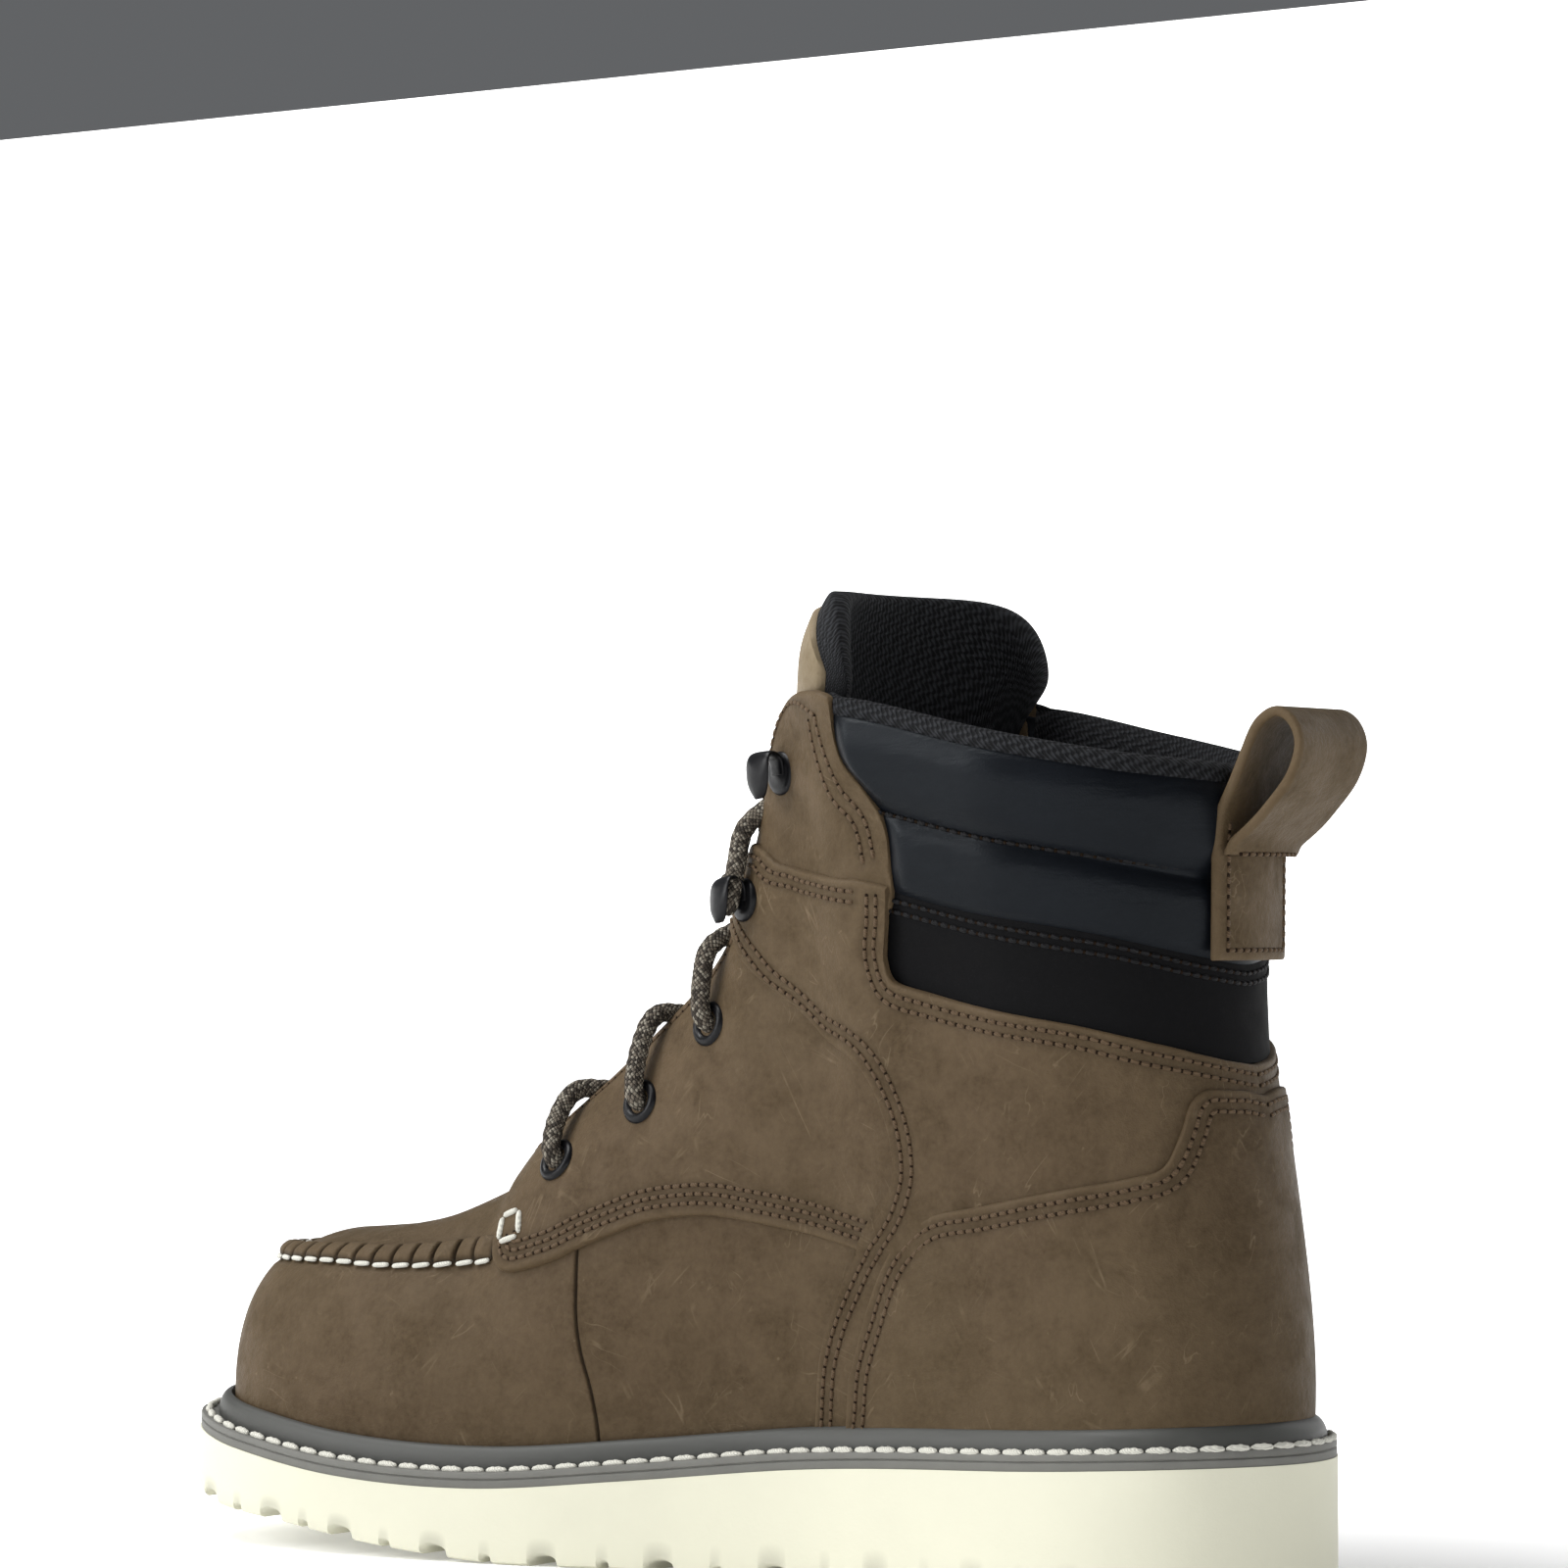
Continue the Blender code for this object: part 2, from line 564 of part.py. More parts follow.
def tongue_face(girth, across, depth=0.0):
    """Point on the tongue's front face, or depth behind it; across runs from -1 to 1."""
    girth, across = np.broadcast_arrays(np.asarray(girth, float), np.asarray(across, float))
    row = smooth(TONGUE, girth)
    x, z = row[..., 0] * SOLE_LENGTH, row[..., 1] * BOOT_HEIGHT
    half, deep = row[..., 2] * BALL_WIDTH - depth, row[..., 3] * SOLE_LENGTH - depth
    tilt = np.radians(row[..., 4])
    turn = across * np.pi / 2
    back = deep * (1 - np.cos(turn)) + depth
    over = np.clip((girth - 10) / 2, 0, 1)
    skew = TONGUE_SKEW * SOLE_LENGTH * across * over
    corner = TONGUE_CORNER * BOOT_HEIGHT * np.abs(across)**5 * over
    return np.stack([x + back * np.cos(tilt) + skew, half * np.sin(turn), z - back * np.sin(tilt) - corner], -1)


def build_tongue(finish):
    """Tongue from under the apron to above the collar, padded towards its top."""
    girth = np.linspace(TONGUE[0, 0], TONGUE[-1, 0], 15)[:, None]
    across = np.linspace(-1, 1, 15)[None, :]
    padded = np.clip((girth - 8) / 2, 0, 1)
    thickness = TONGUE_LEATHER + (TONGUE_PADDING - TONGUE_LEATHER) * padded
    edge = 1 - 0.55 * np.abs(across)**4
    front = tongue_face(girth, across)
    behind = tongue_face(girth, across, thickness * edge)
    return layered("tongue", front, behind, finish)


def build_pull_loop(finish):
    """Strap sewn flat on the back of the collar that stands up in a loop and returns."""
    base = raised(HEEL, LOOP_START, ROLL_BULGE + 3 * GAP + STRAP / 2)
    lean = skin(HEEL, 0.9) - skin(HEEL, LOOP_START)
    lean = lean / np.linalg.norm(lean)
    place = np.linspace(0, len(LOOP_PATH) - 1, 31)
    path = smooth(np.column_stack([np.arange(len(LOOP_PATH)), LOOP_PATH]), place) * LOOP_RISE
    centre = base + np.stack([path[:, 0] + lean[0] * path[:, 1], 0 * place, path[:, 1]], -1)
    tangent = np.gradient(centre, axis=0)
    tangent /= np.linalg.norm(tangent, axis=1, keepdims=True)
    normal = np.stack([tangent[:, 2], 0 * place, -tangent[:, 0]], -1)
    width = np.linspace(-1, 1, 7) * STRAP_WIDTH / 2
    curled = np.clip(1 - (place - 2) / 3, 0, 1)
    drop = curled[:, None] * width[None, :]**2 / (2 * 0.45 * BALL_WIDTH)
    middle = centre[:, None, :] - drop[..., None] * np.array([1.0, 0.0, 0.0])
    middle = middle + width[None, :, None] * np.array([0.0, 1.0, 0.0])
    half = normal[:, None, :] * STRAP / 2
    return layered("pull_loop", middle + half, middle - half, finish)


def side_girth(girth, side):
    return girth if side < 0 else 2 * HEEL - girth


def build_eyelet(name, girth, up, finish):
    """Flat ring with a rounded edge on the facing."""
    lift = LAID_GAP + OVERLAY + 1.5 * GAP
    centre = raised(girth, up, lift)
    normal = outward(girth, up)
    first = np.cross(normal, (0.0, 0.0, 1.0))
    first /= np.linalg.norm(first)
    second = np.cross(normal, first)
    outline = [(EYELET_BORE, 0.0), (EYELET_RADIUS, 0.0), (EYELET_RADIUS, 0.4 * EYELET_HEIGHT),
               (0.75 * EYELET_RADIUS, EYELET_HEIGHT), (1.15 * EYELET_BORE, EYELET_HEIGHT)]
    sections = []
    for angle in np.linspace(0, 2 * np.pi, 14, endpoint=False):
        arm = np.cos(angle) * first + np.sin(angle) * second
        sections.append([centre + arm * radius + normal * height for radius, height in outline])
    return ring_solid(name, np.array(sections), finish)


def build_hook(name, girth, up, finish):
    """Speed hook: a base plate that bends up and back over itself, open away from the throat."""
    normal = outward(girth, up)
    centre = raised(girth, up, LAID_GAP + OVERLAY + QUARTER_EXTRA + 3 * GAP)
    throat = skin(girth, 1.0) - skin(girth, up)
    throat -= normal * np.dot(throat, normal)
    throat /= np.linalg.norm(throat)
    sideways = np.cross(normal, throat)
    long, tall, plate = HOOK_LENGTH / 2, HOOK_HEIGHT, HOOK_PLATE
    bend = 0.15 * HOOK_LENGTH
    outline = [(-long, 0), (long, 0), (long, plate), (bend + plate, plate), (bend + plate, tall - plate),
               (long * 0.9, tall), (long * 0.7, tall + plate * 0.8), (bend, tall + plate * 0.3),
               (-long * 0.9, tall * 0.9), (-long * 0.9, tall * 0.9 - plate), (bend, tall - plate),
               (bend, plate), (-long, plate)]
    sections = []
    for share in (-1.0, 1.0):
        sections.append([centre + throat * a + normal * b + sideways * share * HOOK_WIDTH / 2
                         for a, b in outline])
    return swept(name, np.array(sections), finish)


def lace_path(side, with_bar):
    """Centre line of one strand, from its lowest eyelet across and back up to the first hook."""
    over_eyelet = LAID_GAP + GAP * 4 + OVERLAY + EYELET_HEIGHT + LACE_RADIUS
    over_edge = LAID_GAP + GAP * 6 + OVERLAY + QUARTER_EXTRA + LACE_RADIUS
    stops = EYELETS + [HOOKS[0]]
    points = []
    if with_bar:
        girth, up = stops[0]
        points.append(raised(side_girth(girth, -side), up, over_eyelet))
        for turn in (-side, side):
            points.append(raised(side_girth(girth - 0.12, turn), 0.97, over_edge))
            if turn == -side:
                points.append(tongue_face(girth - 0.12, 0.0, -LACE_RADIUS - 3 * GAP))
    for number, (girth, up) in enumerate(stops):
        turn = side if number % 2 == 0 else -side
        if number:
            short = 0.22 if number < len(stops) - 1 else 0.38
            points.append(raised(side_girth(girth - short, turn), 0.985, over_edge))
        if number < len(stops) - 1:
            points.append(raised(side_girth(girth, turn), up, over_eyelet))
            points.append(raised(side_girth(girth + 0.22, turn), 0.985, over_edge))
            middle = (girth + stops[number + 1][0]) / 2
            points.append(tongue_face(middle, 0.0, -LACE_RADIUS - 3 * GAP))
    return np.array(points)


def tube(name, path, radius, finish):
    """Round cord along a path, with flat ends."""
    place = np.linspace(0, len(path) - 1, (len(path) - 1) * 4 + 1)
    line = smooth(np.column_stack([np.arange(len(path)), path]), place)
    tangent = np.gradient(line, axis=0)
    tangent /= np.linalg.norm(tangent, axis=1, keepdims=True)
    side = np.cross(tangent[0], (0.0, 0.0, 1.0))
    sections = []
    for point, along in zip(line, tangent):
        side = side - along * np.dot(side, along)
        side /= np.linalg.norm(side)
        other = np.cross(along, side)
        turn = np.linspace(0, 2 * np.pi, 7, endpoint=False)
        sections.append([point + radius * (np.cos(a) * side + np.sin(a) * other) for a in turn])
    return swept(name, np.array(sections), finish)


def build_laces(finish):
    """Two strands that cross in front of the tongue, joined where they cross."""
    laces = tube("laces", lace_path(-1, True), LACE_RADIUS, finish)
    other = tube("lace_strand", lace_path(1, False), LACE_RADIUS, finish)
    join = laces.modifiers.new("join strands", "BOOLEAN")
    join.operation = "UNION"
    join.solver = "EXACT"
    join.object = other
    other.display_type = "WIRE"
    other.hide_render = True
    return laces


def centre_on_box(objects):
    """Moves every point so that the boot's box is centred over the origin."""
    corners = np.array([v.co[:] for o in objects for v in o.data.vertices])
    middle = (corners.min(0) + corners.max(0)) / 2
    for solid in objects:
        solid.data.transform(Matrix.Translation(Vector((-middle[0], -middle[1], 0))))


def main():
    for item in list(bpy.data.objects):
        bpy.data.objects.remove(item)
    nubuck = material("brown leather", (0.140, 0.105, 0.073), 0.75)
    tan = material("tan leather", (0.270, 0.205, 0.140), 0.75)
    black = material("black leather", (0.016, 0.018, 0.022), 0.45)
    cream = material("cream rubber", (0.740, 0.735, 0.610), 0.55)
    grey = material("grey welt rubber", (0.100, 0.105, 0.100), 0.6)
    lining = material("dark insole fabric", (0.030, 0.030, 0.032), 0.9)
    enamel = material("black enamelled metal", (0.012, 0.012, 0.013), 0.35, 0.6)
    cord = material("taupe braided cord", (0.110, 0.095, 0.080), 0.9)

    build_outsole(cream)
    build_welt(grey)
    build_insole(lining)
    build_upper(nubuck)
    build_collar(black)
    build_tongue(tan)
    build_pull_loop(nubuck)
    overlay("facing_medial", FACING, LAID_GAP, OVERLAY, 1, 10, nubuck)
    overlay("facing_lateral", mirrored(FACING), LAID_GAP, OVERLAY, 1, 10, nubuck)
    quarter = np.concatenate([QUARTER, mirrored(QUARTER)[1:]])
    overlay("quarter", quarter, LAID_GAP, OVERLAY + QUARTER_EXTRA, 1, 9, nubuck)
    counter = np.concatenate([COUNTER, mirrored(COUNTER)[1:]])
    overlay("counter", counter, 2 * LAID_GAP + OVERLAY + QUARTER_EXTRA, OVERLAY, 2, 5, nubuck)
    for side, word in ((-1, "medial"), (1, "lateral")):
        for number, (girth, up) in enumerate(EYELETS, 1):
            build_eyelet(f"eyelet_{word}_{number}", side_girth(girth, side), up, enamel)
        for number, (girth, up) in enumerate(HOOKS, 1):
            build_hook(f"hook_{word}_{number}", side_girth(girth, side), up, enamel)
    build_laces(cord)
    centre_on_box([o for o in bpy.data.objects if o.type == "MESH"])


main()
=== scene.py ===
"""Looks of the wedge sole work boot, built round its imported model.

Metres, +Z up, in the frame of the solids. skin(girth, up) is the outer face of the leather, from
the same ribs as the solids: girth runs round the boot from 0 at the toe along the inner side to
HEEL at the back and on along the outer side to 2 * HEEL, and up climbs from 0 at the sole to 1 at
the top edge. A panel is a sheet over the skin with a lift, so each piece is worked out from two
parameters on a grid.
"""

import bpy
import numpy as np
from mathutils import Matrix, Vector


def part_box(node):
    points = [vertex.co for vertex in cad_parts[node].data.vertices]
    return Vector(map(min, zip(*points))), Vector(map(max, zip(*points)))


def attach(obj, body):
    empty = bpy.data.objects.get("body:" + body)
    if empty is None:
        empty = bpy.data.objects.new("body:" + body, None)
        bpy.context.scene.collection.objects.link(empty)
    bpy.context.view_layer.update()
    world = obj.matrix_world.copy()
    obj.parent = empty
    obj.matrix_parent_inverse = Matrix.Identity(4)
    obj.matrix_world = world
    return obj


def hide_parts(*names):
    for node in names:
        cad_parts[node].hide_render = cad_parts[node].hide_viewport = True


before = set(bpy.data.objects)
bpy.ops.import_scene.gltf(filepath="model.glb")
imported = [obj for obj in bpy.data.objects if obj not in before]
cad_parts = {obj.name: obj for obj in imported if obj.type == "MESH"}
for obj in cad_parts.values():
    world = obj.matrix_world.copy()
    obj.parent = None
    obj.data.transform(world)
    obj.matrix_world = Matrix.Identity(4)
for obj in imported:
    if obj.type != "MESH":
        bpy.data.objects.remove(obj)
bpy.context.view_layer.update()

# Driving sizes, as in the solids
SOLE_LENGTH = 0.308
BALL_WIDTH = 0.093
BOOT_HEIGHT = 0.204
HEEL_STACK = 0.031
SOLE_MARGIN = 0.009
WALL = 0.0022
GAP = 0.0003

# Leather
FACING_LEATHER = 0.0017
QUARTER_LEATHER = 0.0017
COUNTER_LEATHER = 0.0015
STRAP = 0.0024
STRAP_WIDTH = 0.031

# Moc toe
MOC_BEAD = 0.0021
MOC_BEAD_SPAN = 0.082
MOC_PITCH = 0.0061
MOC_END = 5.60

# Welt
WELT_STRIP = 0.004
WELT_BEAD = 0.0062
WELT_BEAD_OUT = 0.0045
WELT_BEAD_HEEL = 0.0022
WELT_STITCH = 0.0061

# Tread
TREAD_GROOVE = 0.0038
TREAD_SIPE = 0.0016
GROOVES = (-0.1335, -0.1085, -0.0858, -0.0586, -0.0297, -0.0005,
           0.0285, 0.0570, 0.0850, 0.1120, 0.1370)
SIPES = (-0.1210, -0.0975, -0.0725, -0.0445, -0.0145, 0.0140, 0.0428, 0.0710, 0.0985, 0.1245)
TREAD_DEPTH = 0.0025
TOE_SPRING = 0.0147

# Lace and fittings
LACE_RADIUS = 0.0023
EYELET_RADIUS = 0.0055
EYELET_BORE = 0.0028

# Stitching: pitch, length and radius of a stitch, and length and radius of a needle hole, drawn as a dark
# disc of painted shade
PITCH = 0.0025
STITCH = 0.0021
THREAD = 0.00056
HOLE_LENGTH = 0.00080
HOLE_RADIUS = 0.00046
TROUGH_WIDTH = 0.0011
PATH_SPACING = 0.001

# Points closer than this are one point
WELD = 0.00001
MILLIMETRE = 0.001

# Rib rows, toe to heel, as in the solids.
# Columns: foot_x, foot_in, foot_out, lean, rise, top_x, top_half, top_z, spread, drop
RIBS = np.array([
    (-0.469, 0.065, -0.065, 0.010, 0.186, -0.367, 0.000, 0.382, 0.290, 0.000),
    (-0.459, 0.274, 0.140, 0.010, 0.186, -0.357, 0.000, 0.383, 0.301, 0.000),
    (-0.425, 0.414, 0.301, 0.010, 0.186, -0.338, 0.000, 0.386, 0.344, 0.000),
    (-0.367, 0.478, 0.409, 0.010, 0.191, -0.308, 0.000, 0.392, 0.387, 0.000),
    (-0.295, 0.500, 0.478, 0.010, 0.196, -0.266, 0.000, 0.407, 0.398, 0.005),
    (-0.218, 0.489, 0.511, 0.010, 0.206, -0.218, 0.000, 0.441, 0.366, 0.020),
    (-0.136, 0.452, 0.522, 0.010, 0.216, -0.162, 0.183, 0.490, 0.215, 0.039),
    (-0.052, 0.387, 0.495, 0.010, 0.225, -0.068, 0.215, 0.593, 0.194, 0.069),
    (0.032, 0.323, 0.446, 0.013, 0.245, 0.023, 0.258, 0.711, 0.150, 0.118),
    (0.110, 0.285, 0.398, 0.016, 0.245, 0.068, 0.312, 0.838, 0.097, 0.176),
    (0.175, 0.280, 0.366, 0.019, 0.235, 0.104, 0.366, 1.000, 0.032, 0.245),
    (0.234, 0.290, 0.349, 0.021, 0.225, 0.182, 0.505, 1.000, -0.075, 0.270),
    (0.308, 0.312, 0.333, 0.021, 0.216, 0.292, 0.505, 0.965, -0.108, 0.275),
    (0.393, 0.301, 0.306, 0.021, 0.216, 0.386, 0.398, 0.938, -0.129, 0.279),
    (0.448, 0.199, 0.204, 0.018, 0.225, 0.433, 0.204, 0.927, -0.129, 0.284),
    (0.472, 0.000, 0.000, 0.016, 0.230, 0.446, 0.000, 0.922, -0.118, 0.289),
])
HEEL = len(RIBS) - 1
THROAT = 5.0
TOE_TURN = 0.039

# Seat of the sole and toe spring: x as a share of SOLE_LENGTH, height as a share of the size named
SEAT = np.array([(-0.50, 0.92), (-0.40, 0.77), (-0.29, 0.62), (-0.16, 0.575),
                 (-0.03, 0.68), (0.11, 0.82), (0.31, 0.92), (0.50, 1.00)])
SPRING = np.array([(-0.50, 1.0), (-0.44, 0.69), (-0.34, 0.45), (-0.23, 0.16), (-0.12, 0.0), (0.50, 0.0)])

# Seams and edges on the skin, inner side: girth, up
MOC_SEAM = np.array([(0.0, 0.535), (1.0, 0.545), (2.0, 0.565), (3.0, 0.572), (4.0, 0.555), (5.0, 0.53),
                     (6.0, 0.51), (8.0, 0.49)])
COLLAR_CUT = np.array([(0.0, 1.0), (10.70, 1.0), (10.86, 0.64), (11.1, 0.62), (12.0, 0.615),
                       (12.7, 0.612), (13.7, 0.597), (15.0, 0.580)])
SCALLOP = np.array([(5.62, 0.56), (5.70, 0.50), (5.95, 0.46), (6.35, 0.457), (6.75, 0.467), (7.15, 0.467),
                    (7.75, 0.44), (8.45, 0.39), (9.10, 0.35), (9.90, 0.305), (10.6, 0.29), (11.4, 0.29)])
QUARTER_FRONT = np.array([(8.30, 0.985), (8.76, 0.82), (9.45, 0.655), (10.15, 0.565), (10.72, 0.535),
                          (10.88, 0.49), (10.93, 0.45), (10.90, 0.41), (10.75, 0.37), (10.45, 0.33),
                          (10.1, 0.30), (9.75, 0.262), (9.4, 0.212), (9.2, 0.16), (9.06, 0.06)])
VAMP_SEAM = np.array([(6.60, 0.475), (6.60, 0.34), (6.65, 0.24), (6.75, 0.16), (6.82, 0.05)])

# Soft creases of the vamp: girth and up along each, lift in metres (below zero for a trough) and width
VAMP_CREASES = [
    ([(5.2, 0.42), (5.6, 0.30), (5.7, 0.18)], -0.0005, 0.006),
    ([(4.6, 0.40), (4.9, 0.28), (4.9, 0.16)], 0.0004, 0.006),
    ([(24.8, 0.42), (24.4, 0.30), (24.3, 0.18)], -0.0005, 0.006),
    ([(7.8, 0.36), (8.0, 0.24), (7.9, 0.12)], -0.0004, 0.007),
    ([(22.1, 0.36), (21.9, 0.22), (22.2, 0.12)], -0.0004, 0.007),
    ([(4.9, 0.86), (5.3, 0.93), (5.5, 0.99)], -0.0005, 0.004),
]

# Panels as rungs between a lower and a higher edge: girth_low, up_low, girth_high, up_high
FACING = np.array([
    (5.64, 0.56, 5.60, 1.00), (5.72, 0.49, 5.70, 1.00), (5.95, 0.46, 5.90, 1.00),
    (6.35, 0.457, 6.25, 1.00), (6.75, 0.467, 6.65, 1.00), (7.15, 0.467, 7.05, 1.00),
    (7.75, 0.44, 7.60, 1.00), (8.45, 0.39, 8.20, 1.00), (9.10, 0.35, 8.75, 0.99),
    (9.90, 0.305, 9.40, 0.90), (10.60, 0.29, 10.20, 0.72), (11.2, 0.29, 10.9, 0.66),
])
EYESTAY_TOP = np.array([
    (8.75, 0.86, 8.80, 1.00), (9.20, 0.80, 9.25, 1.00), (9.65, 0.70, 9.70, 1.00),
    (10.05, 0.68, 10.15, 1.00), (10.40, 0.68, 10.50, 1.005), (10.70, 0.68, 10.74, 1.01),
    (10.92, 0.69, 10.90, 1.005), (11.05, 0.70, 10.92, 0.96), (11.15, 0.72, 10.98, 0.92),
    (11.24, 0.74, 11.14, 0.89), (11.28, 0.76, 11.26, 0.86), (11.29, 0.775, 11.30, 0.83),
])
QUARTER = np.array([
    (8.30, 0.985, 8.42, 1.00), (8.52, 0.90, 8.78, 1.00), (8.76, 0.82, 9.06, 0.985),
    (9.12, 0.73, 9.42, 0.885), (9.60, 0.635, 9.85, 0.79), (10.15, 0.565, 10.38, 0.762),
    (10.55, 0.543, 10.78, 0.765), (10.72, 0.530, 11.00, 0.770), (10.84, 0.505, 11.26, 0.770),
    (10.90, 0.475, 11.21, 0.72), (10.93, 0.45, 11.16, 0.682), (10.92, 0.42, 11.20, 0.652),
    (10.85, 0.390, 11.50, 0.645), (10.72, 0.362, 11.95, 0.642), (10.52, 0.337, 12.34, 0.640),
    (10.27, 0.313, 12.66, 0.638), (9.98, 0.288, 12.92, 0.634), (9.66, 0.250, 13.14, 0.630),
    (9.36, 0.200, 13.30, 0.627), (9.18, 0.145, 13.44, 0.624), (9.07, 0.055, 13.56, 0.622),
    (9.70, 0.052, 13.70, 0.619), (10.30, 0.053, 13.84, 0.616), (10.90, 0.055, 13.96, 0.613),
    (11.50, 0.058, 14.08, 0.611), (12.05, 0.060, 14.20, 0.609), (12.55, 0.060, 14.32, 0.607),
    (13.00, 0.060, 14.44, 0.605), (13.40, 0.060, 14.55, 0.604), (13.80, 0.059, 14.66, 0.603),
    (14.20, 0.058, 14.77, 0.602), (14.60, 0.057, 14.88, 0.601), (15.00, 0.057, 15.00, 0.60),
])
COUNTER = np.array([
    (9.52, 0.055, 9.66, 0.130), (9.75, 0.055, 10.12, 0.225), (10.2, 0.055, 10.70, 0.310),
    (10.7, 0.056, 11.20, 0.358), (11.3, 0.057, 11.80, 0.385), (12.0, 0.058, 12.55, 0.418),
    (12.6, 0.059, 13.15, 0.438), (13.0, 0.059, 13.48, 0.452), (13.3, 0.060, 13.70, 0.500),
    (13.6, 0.060, 13.85, 0.543), (14.0, 0.059, 14.15, 0.562), (14.5, 0.058, 14.58, 0.562),
    (15.0, 0.058, 15.00, 0.555),
])
# Front edge of the collar's window in the leather: up, girth
WINDOW_FRONT = np.array([(0.58, 11.24), (0.652, 11.22), (0.682, 11.17), (0.72, 11.21),
                         (0.77, 11.26), (0.83, 11.29), (0.86, 11.25), (0.89, 11.13),
                         (0.92, 10.98), (0.96, 10.92), (1.0, 10.90)])

# Collar from its lower edge to its top edge: share of the climb, lift in millimetres
COLLAR_BAND = np.array([(0.0, 0.2), (0.5, 0.5), (1.0, 0.7)])
COLLAR_ROLLS = np.array([(0.0, 0.3), (0.04, 1.6), (0.12, 2.5), (0.24, 2.9), (0.36, 2.4),
                         (0.42, 1.3), (0.45, 0.5), (0.48, 1.4), (0.55, 2.9), (0.68, 4.0),
                         (0.80, 3.9), (0.90, 2.9), (0.97, 1.4), (1.0, 0.2)])
# Lining over the collar's top edge and down inside: up, lift in millimetres
COLLAR_LINING = np.array([(0.978, 0.4), (0.982, 1.4), (0.990, 1.9), (1.000, 1.2), (1.006, -0.8),
                          (1.004, -2.8), (0.992, -4.6), (0.965, -6.0), (0.90, -7.0), (0.80, -7.0),
                          (0.70, -6.0), (0.60, -4.6), (0.48, -3.6), (0.30, -3.0), (0.10, -2.9), (0.03, -2.9)])

# Lace fittings on each side, front to back: girth, up
EYELETS = [(6.35, 0.755), (7.20, 0.76), (7.95, 0.82)]
HOOKS = [(8.95, 0.90), (9.95, 0.905)]

# Tongue rows by girth, as in the solids. Columns: girth, x, z, half, deep, tilt
TONGUE = np.array([
    (5.0, -0.205, 0.412, 0.20, 0.016, 62.0),
    (6.0, -0.160, 0.478, 0.27, 0.030, 54.0),
    (7.0, -0.068, 0.585, 0.28, 0.042, 47.0),
    (8.0, 0.020, 0.706, 0.295, 0.052, 32.0),
    (9.0, 0.059, 0.838, 0.335, 0.062, 16.0),
    (10.0, 0.080, 1.000, 0.42, 0.086, 4.0),
    (11.0, 0.090, 1.074, 0.455, 0.100, 0.0),
    (12.0, 0.112, 1.135, 0.44, 0.094, 0.0),
])
TONGUE_SKEW = 0.012
TONGUE_CORNER = 0.065

# Pull loop from the side: distance behind the collar and height, as shares of LOOP_RISE
LOOP_RISE = 0.060
LOOP_START = 0.745
LOOP_PATH = np.array([
    (0.00, 0.00), (0.00, 0.20), (0.00, 0.42), (0.005, 0.56), (0.035, 0.67), (0.085, 0.81), (0.135, 0.90),
    (0.21, 0.94), (0.28, 0.90), (0.31, 0.81), (0.27, 0.69), (0.17, 0.57), (0.10, 0.50), (0.062, 0.45),
    (0.052, 0.40),
])

# Camera fitted to the photograph, in metres and degrees, before the boot was centred on its box
CAMERA_PLACE = (0.8122, -1.1599, 0.1540)
CAMERA_TURN = 34.77
CAMERA_PITCH = 1.33
CAMERA_LENS = 134.06
FLOOR_REACH = 8.0
WALL_RISE = 1.8


def smooth(rows, at, clamp=False):
    """Cubic curve through the rows of a table, whose first column is the position."""
    rows = np.asarray(rows, float)
    x, y = rows[:, 0], rows[:, 1:]
    at = np.asarray(at, float)
    step = np.diff(x)[:, None]
    slope = np.diff(y, axis=0) / step
    tangent = np.zeros_like(y)
    tangent[1:-1] = (slope[:-1] * step[1:] + slope[1:] * step[:-1]) / (step[:-1] + step[1:])
    if clamp:
        turn = slope[:-1] * slope[1:] <= 0
        tangent[1:-1][turn] = 0.0
        limit = np.minimum(np.abs(slope[:-1]), np.abs(slope[1:])) * 3
        tangent[1:-1] = np.clip(tangent[1:-1], -limit, limit)
    i = np.clip(np.searchsorted(x, at, side="right") - 1, 0, len(x) - 2)
    t = ((at - x[i]) / np.diff(x)[i])[..., None]
    h = np.diff(x)[i][..., None]
    value = (y[i] * (2 * t**3 - 3 * t**2 + 1) + y[i + 1] * (3 * t**2 - 2 * t**3)
             + h * (tangent[i] * (t**3 - 2 * t**2 + t) + tangent[i + 1] * (t**3 - t**2)))
    return value[..., 0] if y.shape[1] == 1 else value


def looped(values, at):
    """Closed cubic curve through values at 0, 1, 2 and so on."""
    count = len(values)
    system = 4 * np.eye(count) + np.roll(np.eye(count), 1, 0) + np.roll(np.eye(count), -1, 0)
    tangent = np.linalg.solve(system, 3 * (np.roll(values, -1) - np.roll(values, 1)))
    i = np.floor(at).astype(int) % count
    j = (i + 1) % count
    t = at - np.floor(at)
    return (values[i] * (2 * t**3 - 3 * t**2 + 1) + values[j] * (3 * t**2 - 2 * t**3)
            + tangent[i] * (t**3 - 2 * t**2 + t) + tangent[j] * (t**3 - t**2))


PLAN_X = SOLE_LENGTH * np.concatenate([RIBS[:, 0], RIBS[-2:0:-1, 0]])
PLAN_Y = BALL_WIDTH * np.concatenate([-RIBS[:, 1], RIBS[-2:0:-1, 2]])
RIB_ROWS = np.column_stack([np.arange(HEEL + 1), RIBS])
TOP_Y = np.column_stack([np.arange(2 * HEEL + 1),
                         BALL_WIDTH * np.concatenate([-RIBS[:, 6], RIBS[-2::-1, 6]])])


